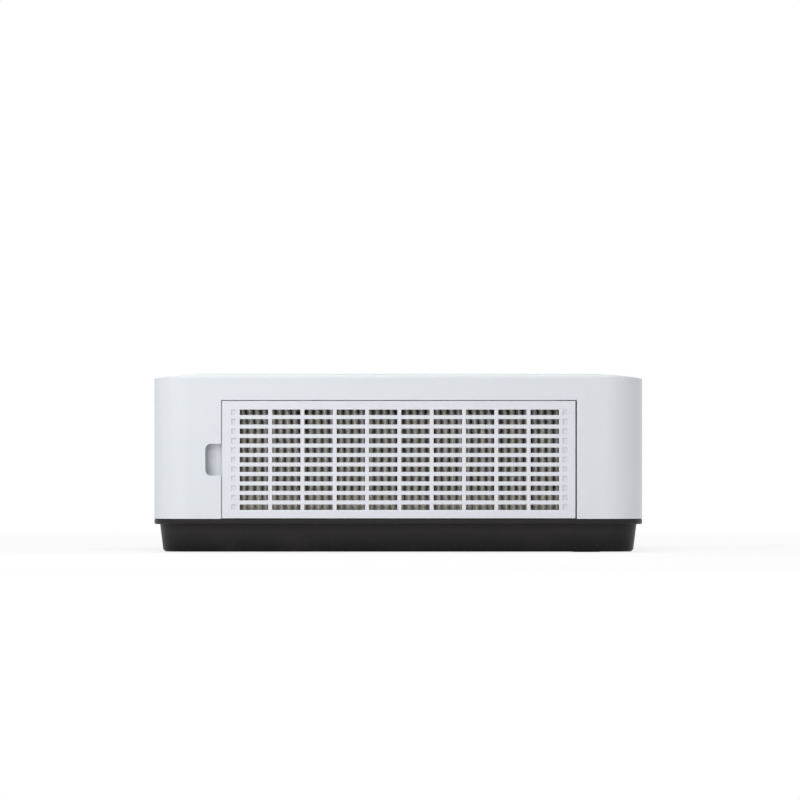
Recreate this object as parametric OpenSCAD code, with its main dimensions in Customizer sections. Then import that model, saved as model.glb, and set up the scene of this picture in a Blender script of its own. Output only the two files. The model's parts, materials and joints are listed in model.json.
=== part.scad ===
// Box projector with a built-in disc player.
// Lens face towards -Y, jack panel towards +Y, disc tray on the -X side, filter door on the +X side.
// The origin is at the middle of the footprint, on the table.

/* [Body] */
// Width from the disc side to the filter side
body_w = 370; // [366:1:400]
// Depth from the lens face to the jack panel
body_d = 337; // [335:1:370]
// Height from the table to the flat of the roof
body_h = 123.3; // [122:0.1:135]
// Plan radius of the upright corners
corner_r = 25; // [22:1:27]
// Wall of both case halves
wall = 2.5; // [2:0.1:3]
// Height at which the white upper case meets the black lower case
split_z = 23.3; // [22.5:0.1:24.5]
// Length over which the roof falls away at the front and at the back
crown_run = 40; // [30:1:50]
// How far the roof falls at the front and back edges
crown_drop = 3.4; // [2:0.1:4.5]
// Rounding of the roof's edge
roof_edge_r = 3.5; // [2:0.1:4]
// Height of the lower case's lip
lip_h = 3.8; // [3:0.1:5]
// Rounding of the lip's two edges
lip_edge_r = 0.7; // [0.3:0.1:1]
// How far the skirt steps in under the lip
skirt_in = 3.9; // [3:0.1:6]
// How much further the skirt leans in at its foot
skirt_draft = 2.2; // [2:0.1:5]
// Bevel at the skirt's foot
skirt_bevel = 1.5; // [1:0.1:3]

/* [Filter door] */
// Width of the door along the side
door_w = 243.7; // [236:0.1:250]
// Height of the door
door_h = 81; // [79:0.1:83]
// Place of the door's middle, behind the middle of the side
door_mid_y = 0.35; // [-1:0.05:2]
// Thickness of the door
door_t = 2.5; // [2:0.1:3]
// Gap round the door at the front and on top
door_gap = 0.6; // [0.4:0.1:0.9]
// Gap at the hinged rear edge
door_hinge_gap = 0.9; // [0.8:0.1:1.2]
// How far the bay's front wall and its ceiling stand in behind the door's gap
bay_ledge = 1.5; // [1.2:0.1:1.8]
// Distance of the hinge axis in front of the door's rear edge
hinge_back = 7.6; // [7:0.1:9]
// Depth of the hinge axis under the door's face
hinge_depth = 5; // [4.5:0.1:5.2]
// Radius of the hinge pins
hinge_pin_r = 1.5; // [1.2:0.1:1.8]
// Slot columns in the grille
slot_cols = 10; // [8:1:10]
// Slot rows in the grille
slot_rows = 11; // [9:1:11]
// Distance from column to column
slot_pitch_y = 22.27; // [20:0.01:22.4]
// Distance from row to row
slot_pitch_z = 6.54; // [6:0.01:6.6]
// Width of one slot
slot_w = 19.5; // [15:0.1:19.8]
// Height of one slot
slot_h = 3.7; // [3:0.1:4.2]
// Place of the first slot's front edge, from the door's front edge
slot_start = 12.3; // [10:0.1:14]
// Height of the lowest row's middle over the door's lower edge
slot_low = 7.7; // [7:0.1:9]
// Depth of the blind half slots at both ends of each row
blind_depth = 1; // [0.2:0.1:1.4]
// Length of the blind half slots
half_slot = 3; // [2:0.1:4]
// Width of the finger notch
notch_w = 10.9; // [9:0.1:13]
// Height of the finger notch
notch_h = 22; // [18:0.1:26]
// Height of the notch's middle
notch_z = 64.1; // [58:0.1:70]
// Depth of the finger notch
notch_depth = 5.2; // [4.8:0.1:7]
// Corner radius of the finger notch
notch_r = 4; // [2:0.1:5]
// Rounding between the notch's front wall and its floor
notch_round = 3.5; // [1:0.1:4]

/* [Filter] */
// Depth of the bay behind the door
bay_depth = 19; // [18:0.5:22]
// Walls of the bay
bay_wall = 2; // [1.5:0.1:2.5]
// Depth of the filter's frame
filter_t = 15; // [12:0.5:15]
// Gap between the door and the filter
filter_gap = 0.7; // [0.5:0.1:1]
// Distance from pleat to pleat
pleat_pitch = 5.15; // [4.5:0.05:6]
// Depth of the pleats
pleat_depth = 11; // [8:0.5:12]
// Thickness of the pleated sheet
pleat_t = 0.7; // [0.5:0.1:0.9]

/* [Lens] */
// Place of the lens axis across the body
lens_x = 45; // [43:1:47]
// Height of the lens axis
lens_z = 66; // [65:0.5:67]
// Radius of the opening in the lens bezel
lens_open_r = 33; // [30:0.5:34]
// Outer radius of the lens bezel
bezel_r = 39; // [38:0.5:40]
// Outer radius of the lens barrel
barrel_r = 30; // [28:0.5:30.5]
// Radius of the zoom and focus rings
ring_r = 34; // [33:0.5:35]
// Width of the focus ring
focus_w = 12; // [10:0.5:13]
// Width of the zoom ring
zoom_w = 14; // [12:0.5:15]
// Running clearance of rings, pins and shafts, on the radius
run_gap = 0.05; // [0.03:0.01:0.08]
// Thickness of the lens shutter
shutter_t = 2; // [1.6:0.1:2.4]
// Travel of the lens shutter
shutter_travel = 75; // [74:1:76]

/* [Controls] */
// Radius of the round keys
key_r = 4.5; // [4:0.1:5]
// Radius of the power key and of the enter key
big_key_r = 6; // [5:0.1:6.5]
// Gap round each key
key_gap = 0.3; // [0.2:0.05:0.4]
// Distance of the four direction keys from the enter key
key_ring = 15; // [14:0.5:17]
// Depth of the control plate's recess in the roof
plate_recess = 1.6; // [1.4:0.1:1.8]
// Thickness of the control plate
plate_t = 0.8; // [0.6:0.1:1]

/* [Disc drive] */
// Diameter of the disc
disc_d = 120; // [120:1:120]
// Width of the disc tray
tray_w = 128; // [127:1:130]
// Thickness of the disc tray
tray_t = 8; // [7.5:0.1:8.5]
// Travel of the disc tray
tray_travel = 130; // [126:1:132]
// Height of the tray's underside
tray_z = 46; // [45:0.5:47]
// Depth of the drive's chassis
drive_depth = 178; // [177:1:180]
// Place of the drive's middle along the side
drive_y = 50; // [48:1:52]
// Module of the loading gear and its rack
gear_module = 1; // [0.9:0.05:1]
// Teeth of the loading gear
gear_teeth = 20; // [18:1:21]
// Radius of the turntable
turntable_r = 15; // [13:0.5:16]
// Travel of the pickup sled
sled_travel = 36; // [34:1:37]

/* [Fans] */
// Side of the square fan frames
fan_size = 80; // [78:1:80]
// Depth of the fan frames
fan_t = 25; // [20:1:25]
// Blades of each fan
fan_blades = 9; // [5:1:9]
// Radius of the fan hubs
hub_r = 17; // [15:0.5:18]

/* [Feet and fixings] */
// How far the feet stand out under the lower case
foot_proud = 0.6; // [0.5:0.1:0.9]
// Radius of the rear feet
foot_r = 10; // [9:0.5:11]
// Travel of the front foot
foot_travel = 25; // [20:1:28]
// Distance between the ceiling fixing holes across the body
fixing_x = 200; // [190:1:205]
// Distance between the ceiling fixing holes along the body
fixing_y = 180; // [176:1:184]
// Radius of the ceiling fixing holes
fixing_r = 2; // [1.6:0.1:2.5]
// Depth of the ceiling fixing holes
fixing_depth = 10; // [8:0.5:11]

/* [Hidden] */
$fn = 64;
// A small distance that cutters reach past the face that they open
past = 1;
// Gap between pieces of different bodies
clear = 0.3;
// Gap round an insert in its window
seam = 0.2;
// How far an insert's flange seats behind the wall
seat = 2;
// Thickness of that flange
seat_t = 1.4;

// Faces of the body and of its hollow
x_left = -body_w / 2;
x_right = body_w / 2;
y_front = -body_d / 2;
y_back = body_d / 2;
in_left = x_left + wall;
in_right = x_right - wall;
in_front = y_front + wall;
in_back = y_back - wall;
floor_z = foot_proud;
floor_in = floor_z + wall;
roof_in = body_h - wall;

// Box between two values along each axis
module block(x0, x1, y0, y1, z0, z1) {
    translate([x0, y0, z0]) cube([x1 - x0, y1 - y0, z1 - z0]);
}

// Round bars along each axis, from one value to another
module bar_x(x0, x1, y, z, r) {
    translate([x0, y, z]) rotate([0, 90, 0]) cylinder(r = r, h = x1 - x0);
}
module bar_y(y0, y1, x, z, r) {
    translate([x, y0, z]) rotate([-90, 0, 0]) cylinder(r = r, h = y1 - y0);
}
module bar_z(z0, z1, x, y, r) {
    translate([x, y, z0]) cylinder(r = r, h = z1 - z0);
}

// Flat outline of a rectangle with round corners, about its middle
module rounded(w, h, r) {
    square([w - 2 * r, h], center = true);
    square([w, h - 2 * r], center = true);
    for (sx = [-1, 1]) {
        for (sy = [-1, 1]) {
            translate([sx * (w / 2 - r), sy * (h / 2 - r)]) circle(r);
        }
    }
}

// Places a piece on a face of the body: +Z of the piece points out of the face, +Y of it up
module on_front(x, z) {
    translate([x, y_front, z]) rotate([90, 0, 0]) children();
}
module on_back(x, z) {
    translate([x, y_back, z]) rotate([90, 0, 180]) children();
}
module on_left(y, z) {
    translate([x_left, y, z]) rotate([90, 0, -90]) children();
}

// Flat plate from one depth under the face to another
module layer(low, high) {
    translate([0, 0, low]) linear_extrude(high - low) children();
}

// Window in a wall, and the insert that fills it flush and seats behind it
module window(w, h, r) {
    layer(-wall - past, past) rounded(w, h, r);
}
module insert(w, h, r, back) {
    layer(-wall, 0) rounded(w - 2 * seam, h - 2 * seam, r);
    layer(-wall - back, -wall) rounded(w + 2 * seat, h + 2 * seat, r + seat);
}

// Sweeps a profile round the body's plan: its first value counts from the corners' centre line
module around_plan(z0, z1) {
    half_x = body_w / 2 - corner_r;
    half_y = body_d / 2 - corner_r;
    corners = [[1, 1, 0], [-1, 1, 90], [-1, -1, 180], [1, -1, 270]];
    for (c = corners) {
        translate([c[0] * half_x, c[1] * half_y, 0]) rotate([0, 0, c[2]]) {
            rotate_extrude(angle = 90) children();
        }
    }
    for (s = [0, 1]) {
        mirror([s, 0, 0]) translate([half_x, half_y, 0]) rotate([90, 0, 0]) {
            linear_extrude(2 * half_y) children();
        }
        mirror([0, s, 0]) translate([-half_x, half_y, 0]) rotate([90, 0, 90]) {
            linear_extrude(2 * half_x) children();
        }
    }
    block(-half_x, half_x, -half_y, half_y, z0, z1);
}

// What lies over the crowned roof, at the front and at the back, lowered by a distance
crown_r = (crown_run * crown_run + crown_drop * crown_drop) / (2 * crown_drop);
function roof_fall(y) = crown_r - sqrt(pow(crown_r, 2) - pow(max(y - body_d / 2 + crown_run, 0), 2));
module over_crown(lowered) {
    for (s = [0, 1]) {
        mirror([0, s, 0]) difference() {
            block(x_left - past, x_right + past, y_back - crown_run, y_back + past,
                body_h - lowered - 2 * crown_drop, body_h - lowered + 2 * crown_drop);
            bar_x(x_left - 2 * past, x_right + 2 * past, y_back - crown_run, body_h - crown_r,
                crown_r - lowered);
        }
    }
}

// ---- Places that several pieces share ----

// Filter door, its window and its hinge
door_y0 = door_mid_y - door_w / 2;
door_y1 = door_mid_y + door_w / 2;
door_z0 = split_z + clear;
door_z1 = door_z0 + door_h;
door_x0 = x_right - door_t;
window_y0 = door_y0 - door_gap;
window_y1 = door_y1 + door_hinge_gap;
window_z1 = door_z1 + door_gap;
hinge_x = x_right - hinge_depth;
hinge_y = door_y1 - hinge_back;
hinge_lug_h = 6;
hinge_lug_r = hinge_pin_r + 1.1;
door_sweep_r = norm([x_right - hinge_x, door_y1 - hinge_y]) + clear;
hinge_boss_r = door_x0 - hinge_x - clear;
bay_x0 = door_x0 - bay_depth;
bay_y1 = hinge_y + door_sweep_r;
bay_floor = split_z + bay_wall;
bay_lip = 4;

// Finger notch in front of the door
notch_y = window_y0 - notch_w / 2;

// Lens: rings, collars between them, and the cut in the roof over them
glass_t = 5;
barrel_wall = 3;
barrel_y0 = y_front + 7.7;
collar_r = barrel_r + 1.6;
collar_t = 1.4;
focus_y0 = y_front + 24.5;
focus_y1 = focus_y0 + focus_w;
zoom_y0 = focus_y1 + collar_t + 2 * clear;
zoom_y1 = zoom_y0 + zoom_w;
ring_swing = 25;
tab_w = 8;
tab_top = roof_in - 0.8;
ring_cut_side = (tab_top - lens_z) * sin(ring_swing) + tab_w / 2 + 4;
ring_cut_y0 = focus_y0 - 2;
ring_cut_y1 = zoom_y1 + 2;

// Lens shutter, drawn open, with its knob above the bezel
bezel_seat_r = bezel_r + 2;
shutter_y0 = in_front + seat_t + clear;
shutter_y1 = shutter_y0 + shutter_t;
shutter_half = lens_open_r + 3;
shutter_x0 = lens_x - shutter_half + shutter_travel;
shutter_x1 = lens_x + shutter_half + shutter_travel;
shutter_z0 = lens_z - lens_open_r - 4;
shutter_z1 = lens_z + lens_open_r + 4;
knob_w = 12;
knob_h = 3;
knob_z = lens_z + bezel_seat_r + 3;
knob_gap = 0.5;
shutter_top = knob_z + knob_h / 2 + 0.5;
rail_t = 2;
rail_lip = 1.8;

// Front exhaust opening, and the fan behind it
fan_from_left = 75;
fan_x = x_left + fan_from_left;
fan_z = 66.3;
grille_w = 88;
grille_h = 72;
grille_r = 4;
grille_depth = 6;
exhaust_y0 = y_front + grille_depth;
intake_x1 = bay_x0 - bay_wall;
intake_x0 = intake_x1 - fan_t;
intake_y = -20;

// Speaker opening
speaker_y = y_front + 73.5;
speaker_z = 66;
speaker_w = 58;
speaker_h = 50;
speaker_r = 25;

// Infrared windows
ir_r = 5;
ir_front_x = lens_x - 68;
ir_front_z = 100;
ir_back_x = lens_x + 15;
ir_back_z = 90;

// Jack panel and what stands in it: place across the panel, width, height and middle height
jack_from_left = 120;
jack_x = x_left + jack_from_left;
jack_z = 87;
jack_w = 170;
jack_h = 34;
board_t = 1.6;
board_z = 72;
board_top = board_z + board_t;
socket_gap = 0.3;
hdmi_x = [-72, -48];
hdmi_w = 15.2;
hdmi_h = 6.2;
usb_x = -26;
usb_w = 13.4;
usb_h = 6.4;
lan_x = -3;
lan_w = 16;
lan_h = 13.6;
vga_x = 30;
vga_w = 31;
vga_h = 12.6;
av_x = [56, 67, 78];
av_r = 4.2;
socket_lift = 1;
av_z = board_top + socket_lift + av_r + 2;

// Mains inlet and rocker switch
inlet_from_lens = 57;
inlet_x = lens_x + inlet_from_lens;
mains_z = 48;
inlet_w = 31;
inlet_h = 23;
inlet_r = 2;
switch_from_inlet = 38;
switch_x = inlet_x + switch_from_inlet;
rocker_w = 13;
rocker_h = 19;
rocker_tilt = 7.5;
rocker_depth = 6;
rocker_pin_r = 1.5;
rocker_wall = 1.6;
rocker_room = 0.9;

// Control plate and keys, about the plate's middle
plate_w = 120;
plate_d = 60;
plate_r = 6;
plate_from_left = 115;
plate_x = x_left + plate_from_left;
plate_y = 75;
key_top = body_h - 0.15;
key_flange = 1.2;
key_flange_t = 1.5;
power_at = [-50, 17];
source_at = [-50, -3];
menu_at = [-50, -19];
nav_at = [0, 0];
play_at = [45, 12];
stop_at = [45, -12];
lamp_dots = [[-32, 21], [-24, 21], [-16, 21]];
dot_r = 1.4;

// Disc drive
disc_r = disc_d / 2;
disc_x = x_left + disc_r + 10.5;
tray_x0 = x_left + wall;
tray_x1 = disc_x + 92.5;
tray_y0 = drive_y - tray_w / 2;
tray_y1 = drive_y + tray_w / 2;
front_margin_y = 3;
front_margin_z = 4;
front_gap = 0.5;
drive_x0 = in_left + 2.5;
drive_x1 = drive_x0 + drive_depth;
drive_half = tray_w / 2 + 11;
drive_wall = 2;
drive_z = 27;
eject_r = 4;
eject_y = drive_y - drive_half - eject_r - key_flange - 2 * clear;
eject_z = tray_z + tray_t / 2;
drive_floor = drive_z + 1.6;
deck_top = drive_floor + 2.4;
drive_top = tray_z + tray_t + 4;
rail_z = 37;
rail_r = 1.5;
rail_y = 17;
motor_r = 13;
motor_top = deck_top + 9;
spindle_r = 1.5;
sled_x0 = disc_x + turntable_r + 2;
sled_w = 26;
sled_half = 22;
pitch_r = gear_module * gear_teeth / 2;
rack_y = tray_y0 + 5;
rack_back = 3;
pitch_y = rack_y + rack_back + 1.25 * gear_module;
gear_x = drive_x0 + 16;
gear_y = pitch_y + pitch_r;
gear_z0 = tray_z - 4.3;
gear_z1 = tray_z - 0.5;
gear_pin_r = 2;
clamper_r = 12.1;

// Lamp and light engine
engine_wall = 2.5;
engine_left = 33;
engine_right = 67;
engine_x0 = lens_x - engine_left;
engine_x1 = lens_x + engine_right;
engine_from_front = 78.5;
engine_y0 = y_front + engine_from_front;
engine_z0 = 30;
engine_z1 = 100;
lamp_x = lens_x + 25;
lamp_half = 34;
lamp_wall = 2;
lamp_depth = 86;
lamp_from_back = 34.5;
lamp_gap = 3;
lamp_y1 = y_back - lamp_from_back;
lamp_y0 = lamp_y1 - lamp_depth;
engine_y1 = lamp_y0 - lamp_gap;
lamp_z0 = 32;
lamp_z1 = 100;
lamp_port_r = 26;
reflector_r = 29;

// Power supply and main board
supply_from_left = 45;
supply_w = 125;
supply_from_front = 43.5;
supply_x0 = x_left + supply_from_left;
supply_x1 = supply_x0 + supply_w;
supply_y0 = y_front + supply_from_front;
supply_y1 = drive_y - drive_half - 10;
supply_z = 15;
board_from_left = 35;
board_w = 155;
board_x0 = x_left + board_from_left;
board_x1 = board_x0 + board_w;
board_y0 = drive_y - 70;
board_y1 = in_back - seat_t - clear;
post_r = 3.5;
post_back = 34;

// Feet
pad_t = 3;
front_foot_x = -30;
front_foot_y = y_front + 28.5;
front_pad_r = 11;
front_stem_r = 7;
foot_seat = pad_t + 0.4;
foot_key_w = 22;
foot_key_h = 8;
foot_key_z = 11;
rear_foot_x = body_w / 2 - 50;
rear_foot_y = y_back - 38.5;
rear_stem_r = 4;
rear_stem_h = 16;

// Case screws, one near each corner
screw_x = body_w / 2 - 25;
screw_y = body_d / 2 - 26.5;
screw_r = 1.6;
screw_head_r = 3.4;
screw_seat_z = 12;
screw_joint_z = 19;
screw_post_r = 4.5;

// ---- Case ----

// Outside of the upper case
module upper_profile() {
    difference() {
        translate([0, split_z]) square([corner_r, body_h - split_z]);
        translate([corner_r - roof_edge_r, body_h - roof_edge_r]) difference() {
            square(roof_edge_r + past);
            circle(roof_edge_r);
        }
    }
}

module upper_outside() {
    difference() {
        around_plan(split_z, body_h) upper_profile();
        over_crown(0);
    }
}

module upper_inside() {
    difference() {
        around_plan(split_z - past, roof_in) {
            translate([0, split_z - past]) square([corner_r - wall, roof_in - split_z + past]);
        }
        over_crown(wall);
    }
}

// Window in the skin that the door fills
module door_window() {
    block(door_x0 - clear, x_right + past, window_y0, window_y1, split_z - past, window_z1);
}

// Tube behind the door that holds the filter, with the holes for the hinge pins.
// It stands in a little behind the window in front and on top, up to the hinge.
module bay_walls() {
    difference() {
        block(bay_x0 - bay_wall, in_right + wall / 2, window_y0 - bay_wall, bay_y1 + bay_wall,
            split_z, window_z1 + bay_wall);
        door_window();
        block(bay_x0, x_right, window_y0 + bay_ledge, filter_y1, bay_floor, window_z1 - bay_ledge);
        block(bay_x0, door_x0 - clear, filter_y1, bay_y1, bay_floor, window_z1);
        block(bay_x0 - 2 * bay_wall, x_right, window_y0 + bay_lip, window_y1 - bay_lip,
            bay_floor + bay_lip, window_z1 - bay_lip);
        for (z = [split_z - past, window_z1 - past]) {
            bar_z(z, z + bay_wall + 2 * past, hinge_x, hinge_y, hinge_pin_r + run_gap);
        }
    }
}

// Room for the door's rear edge, which swings in behind the skin and over the bay's floor
module door_sweep() {
    translate([hinge_x, hinge_y, 0]) rotate_extrude(angle = 180) {
        translate([0, bay_floor]) square([door_sweep_r, window_z1 - bay_floor]);
        translate([hinge_boss_r, split_z - past]) square([door_sweep_r - hinge_boss_r, bay_wall + 2 * past]);
    }
}

// Cup of the finger notch, and its hollow, which runs on behind the door's front edge
module notch_cup() {
    block(x_right - notch_depth - wall, in_right + wall / 2, notch_y - notch_w / 2 - wall, window_y0,
        notch_z - notch_h / 2 - wall, notch_z + notch_h / 2 + wall);
}
module notch_hollow() {
    reach = notch_w + bay_ledge;
    intersection() {
        translate([x_right - notch_depth, notch_y, notch_z]) rotate([90, 0, 90]) {
            linear_extrude(notch_depth + past) {
                rounded(notch_w, notch_h, notch_r);
                translate([0, -notch_h / 2]) square([notch_w / 2 + bay_ledge, notch_h]);
            }
        }
        translate([x_right - notch_depth, notch_y - notch_w / 2, notch_z - notch_h / 2]) {
            linear_extrude(notch_h) {
                translate([notch_round, 0]) square([notch_depth - notch_round + past, reach]);
                translate([0, notch_round]) square([notch_depth + past, reach - notch_round]);
                translate([notch_round, notch_round]) circle(notch_round);
            }
        }
    }
}

// Channels that the lens shutter slides in
module shutter_rails() {
    x0 = shutter_x0 - shutter_travel - rail_t;
    x1 = shutter_x1 + rail_t;
    low = shutter_z0 - clear;
    top = shutter_top + clear;
    lip_y = shutter_y1 + clear;
    block(x0, x1, in_front, lip_y + rail_t, low - rail_t, low);
    block(x0, x1, lip_y, lip_y + rail_t, low, low + rail_lip);
    block(x0, x1, in_front, lip_y + rail_t, top, top + rail_t);
    block(x0, x1, lip_y, lip_y + rail_t, top - rail_lip, top);
}

// Collar behind the rocker switch, with the holes for its pins
rocker_half_w = rocker_w / 2 + clear;
rocker_half_h = rocker_h / 2 + rocker_room;
module rocker_collar() {
    on_back(switch_x, mains_z) difference() {
        layer(-rocker_depth - 4, -wall / 2) {
            square(2 * [rocker_half_w + rocker_wall, rocker_half_h + rocker_wall], center = true);
        }
        translate([0, 0, -rocker_depth]) rotate([0, 90, 0]) {
            cylinder(r = rocker_pin_r + run_gap, h = rocker_w + 4 * rocker_wall, center = true);
        }
    }
}

// Posts that hang from the roof: for the main board, and for the case screws
module roof_posts() {
    inset = 2 * post_r;
    for (x = [board_x0 + inset, board_x1 - inset]) {
        for (y = [board_y0 + inset, board_y1 - post_back]) {
            bar_z(board_top, roof_in - roof_fall(y) + wall / 2, x, y, post_r);
        }
    }
    for (x = [-screw_x, screw_x]) {
        for (y = [-screw_y, screw_y]) {
            bar_z(screw_joint_z, roof_in - roof_fall(screw_y) + wall / 2, x, y, screw_post_r);
        }
    }
}

// Openings of the upper case
module front_openings() {
    bar_y(y_front - past, in_front + past, lens_x, lens_z, bezel_r + seam);
    on_front(fan_x, fan_z) window(grille_w, grille_h, grille_r);
    on_front(ir_front_x, ir_front_z) layer(-wall - past, past) circle(ir_r + seam);
    block(shutter_x0 - shutter_travel - knob_gap, shutter_x0 + knob_w + knob_gap,
        y_front - past, in_front + past, knob_z - knob_h / 2 - knob_gap, knob_z + knob_h / 2 + knob_gap);
}
module back_openings() {
    on_back(jack_x, jack_z) window(jack_w, jack_h, 3);
    on_back(inlet_x, mains_z) window(inlet_w, inlet_h, inlet_r);
    on_back(switch_x, mains_z) layer(-rocker_depth - 5, past) {
        square(2 * [rocker_half_w, rocker_half_h], center = true);
    }
    on_back(ir_back_x, ir_back_z) layer(-wall - past, past) circle(ir_r + seam);
}
module left_openings() {
    on_left(speaker_y, speaker_z) window(speaker_w, speaker_h, 4);
    on_left(drive_y, tray_z + tray_t / 2) {
        window(tray_w + 2 * (front_margin_y + front_gap), tray_t + 2 * (front_margin_z + front_gap), 2);
    }
    on_left(eject_y, eject_z) layer(-wall - past, past) circle(eject_r + key_gap);
}
module roof_openings() {
    translate([lens_x, (ring_cut_y0 + ring_cut_y1) / 2, roof_in - past]) linear_extrude(wall + 2 * past) {
        rounded(2 * ring_cut_side, ring_cut_y1 - ring_cut_y0, 4);
    }
    translate([plate_x, plate_y, body_h]) {
        layer(-plate_recess, past) rounded(plate_w, plate_d, plate_r);
        key_holes();
    }
}

module upper_case() {
    color("whitesmoke") difference() {
        union() {
            difference() {
                upper_outside();
                upper_inside();
                door_window();
            }
            bay_walls();
            notch_cup();
            shutter_rails();
            rocker_collar();
            roof_posts();
        }
        notch_hollow();
        door_sweep();
        front_openings();
        back_openings();
        left_openings();
        roof_openings();
        for (x = [-screw_x, screw_x]) {
            for (y = [-screw_y, screw_y]) {
                bar_z(screw_joint_z - past, screw_joint_z + screw_grip + 2, x, y, screw_r + run_gap);
            }
        }
    }
}

// Outline of the skirt, moved inward for its hollow
module skirt_profile(inward, z0, z1) {
    top_r = corner_r - skirt_in - inward;
    low_r = top_r - skirt_draft;
    bevel = max(skirt_bevel - inward, 0);
    polygon([[0, z0], [low_r - bevel, z0], [low_r, z0 + bevel], [top_r, z1], [0, z1]]);
}

module lip_profile() {
    e = lip_edge_r;
    z0 = split_z - lip_h;
    side = [[corner_r - e, z0], [corner_r, z0 + e], [corner_r, split_z - e], [corner_r - e, split_z]];
    polygon(concat([[0, z0]], side, [[0, split_z]]));
}

// Bosses that stand on the case's floor and carry what is inside
module floor_posts() {
    for (x = [drive_x0 + 15, drive_x1 - 13]) {
        for (y = [drive_y - drive_half + 7, drive_y + drive_half - 7]) {
            bar_z(floor_z + wall / 2, drive_z, x, y, 4);
        }
    }
    for (x = [engine_x0 + 6, engine_x1 - 6]) {
        for (y = [engine_y0 + 8, engine_y1 - 8]) {
            bar_z(floor_z + wall / 2, engine_z0, x, y, 4);
        }
    }
    for (x = [lamp_x - lamp_half + 6, lamp_x + lamp_half - 6]) {
        bar_z(floor_z + wall / 2, lamp_z0, x, lamp_y1 - 8, 4);
        bar_z(floor_z + wall / 2, lamp_z0, x, lamp_y0 + 14, 4);
    }
    for (x = [supply_x0 + 5, supply_x1 - 5]) {
        for (y = [supply_y0 + 5, supply_y1 - 5]) {
            bar_z(floor_z + wall / 2, supply_z, x, y, post_r);
        }
    }
}

// Bosses that reach the underside: case screws, ceiling fixings and feet
module underside_bosses() {
    for (x = [-1, 1]) {
        for (y = [-1, 1]) {
            bar_z(floor_z, screw_joint_z, x * screw_x, y * screw_y, screw_head_r + 2);
            bar_z(floor_z, floor_z + fixing_depth + 2, x * fixing_x / 2, y * fixing_y / 2, fixing_r + 3.5);
        }
    }
    bar_z(floor_z, foot_seat + 1.6, front_foot_x, front_foot_y, front_pad_r + 2.4);
    bar_z(floor_z, split_z - 1, front_foot_x, front_foot_y, front_stem_r + 3);
    for (s = [-1, 1]) {
        bar_z(floor_z, rear_stem_h + 3, s * rear_foot_x, rear_foot_y, foot_r + 2.4);
    }
}

module underside_holes() {
    for (x = [-1, 1]) {
        for (y = [-1, 1]) {
            bar_z(floor_z - past, screw_seat_z, x * screw_x, y * screw_y, screw_head_r + 0.4);
            bar_z(floor_z - past, screw_joint_z + past, x * screw_x, y * screw_y, screw_r + run_gap);
            bar_z(floor_z - past, floor_z + fixing_depth, x * fixing_x / 2, y * fixing_y / 2, fixing_r);
        }
    }
    bar_z(floor_z - past, foot_seat, front_foot_x, front_foot_y, front_pad_r + 0.4);
    bar_z(floor_z - past, split_z + past, front_foot_x, front_foot_y, front_stem_r + run_gap);
    for (s = [-1, 1]) {
        bar_z(floor_z - past, foot_seat, s * rear_foot_x, rear_foot_y, foot_r + 0.4);
        bar_z(floor_z - past, rear_stem_h + 1.5, s * rear_foot_x, rear_foot_y, rear_stem_r + run_gap);
    }
}

// Guides of the foot's release key, and its window in the skirt
foot_key_y0 = y_front + skirt_in + 1;
foot_key_y1 = foot_key_y0 + 9;
module foot_key_guides() {
    half = foot_key_w / 2 + clear;
    y0 = y_front + skirt_in + skirt_draft + skirt_bevel;
    block(front_foot_x - half - 1.5, front_foot_x + half + 1.5, y0, foot_key_y1 - 1, floor_z + wall / 2,
        foot_key_z + foot_key_h / 2 + clear);
}
module foot_key_window() {
    half = foot_key_w / 2 + clear;
    block(front_foot_x - half, front_foot_x + half, y_front, foot_key_y1 + 2 * past,
        foot_key_z - foot_key_h / 2 - clear, foot_key_z + foot_key_h / 2 + clear);
}

// Row of air slots through the floor, behind the boards
air_slots = 10;
air_slot_pitch = 8;
module floor_slots() {
    for (i = [0 : air_slots - 1]) {
        x = -70 + i * air_slot_pitch;
        translate([x, y_back - 20.5, floor_z - past]) linear_extrude(wall + 2 * past) rounded(3, 16, 1.4);
    }
}

module lower_case() {
    color("dimgray") difference() {
        union() {
            difference() {
                union() {
                    around_plan(floor_z, split_z - lip_h) skirt_profile(0, floor_z, split_z - lip_h);
                    around_plan(split_z - lip_h, split_z) lip_profile();
                }
                around_plan(floor_in, split_z + past) skirt_profile(wall, floor_in, split_z + past);
            }
            floor_posts();
            underside_bosses();
            foot_key_guides();
        }
        underside_holes();
        foot_key_window();
        floor_slots();
    }
}

// ---- Filter door and filter ----

// Slotted grille: through slots, and a blind half slot at each end of every row
module slot_field() {
    for (row = [0 : slot_rows - 1]) {
        for (col = [0 : slot_cols - 1]) {
            translate([slot_start + col * slot_pitch_y, slot_low + row * slot_pitch_z - slot_h / 2]) {
                square([slot_w, slot_h]);
            }
        }
    }
}

module blind_field() {
    last = slot_start + slot_cols * slot_pitch_y;
    for (row = [0 : slot_rows - 1]) {
        for (y = [slot_start - slot_pitch_y + slot_w - half_slot, last]) {
            translate([y, slot_low + row * slot_pitch_z - slot_h / 2]) square([half_slot, slot_h]);
        }
    }
}

module hinge_lug(z0, z1) {
    bar_z(z0, z1, hinge_x, hinge_y, hinge_lug_r);
    block(hinge_x, door_x0 + door_t / 2, hinge_y - hinge_lug_r, hinge_y + hinge_lug_r, z0, z1);
}

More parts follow.
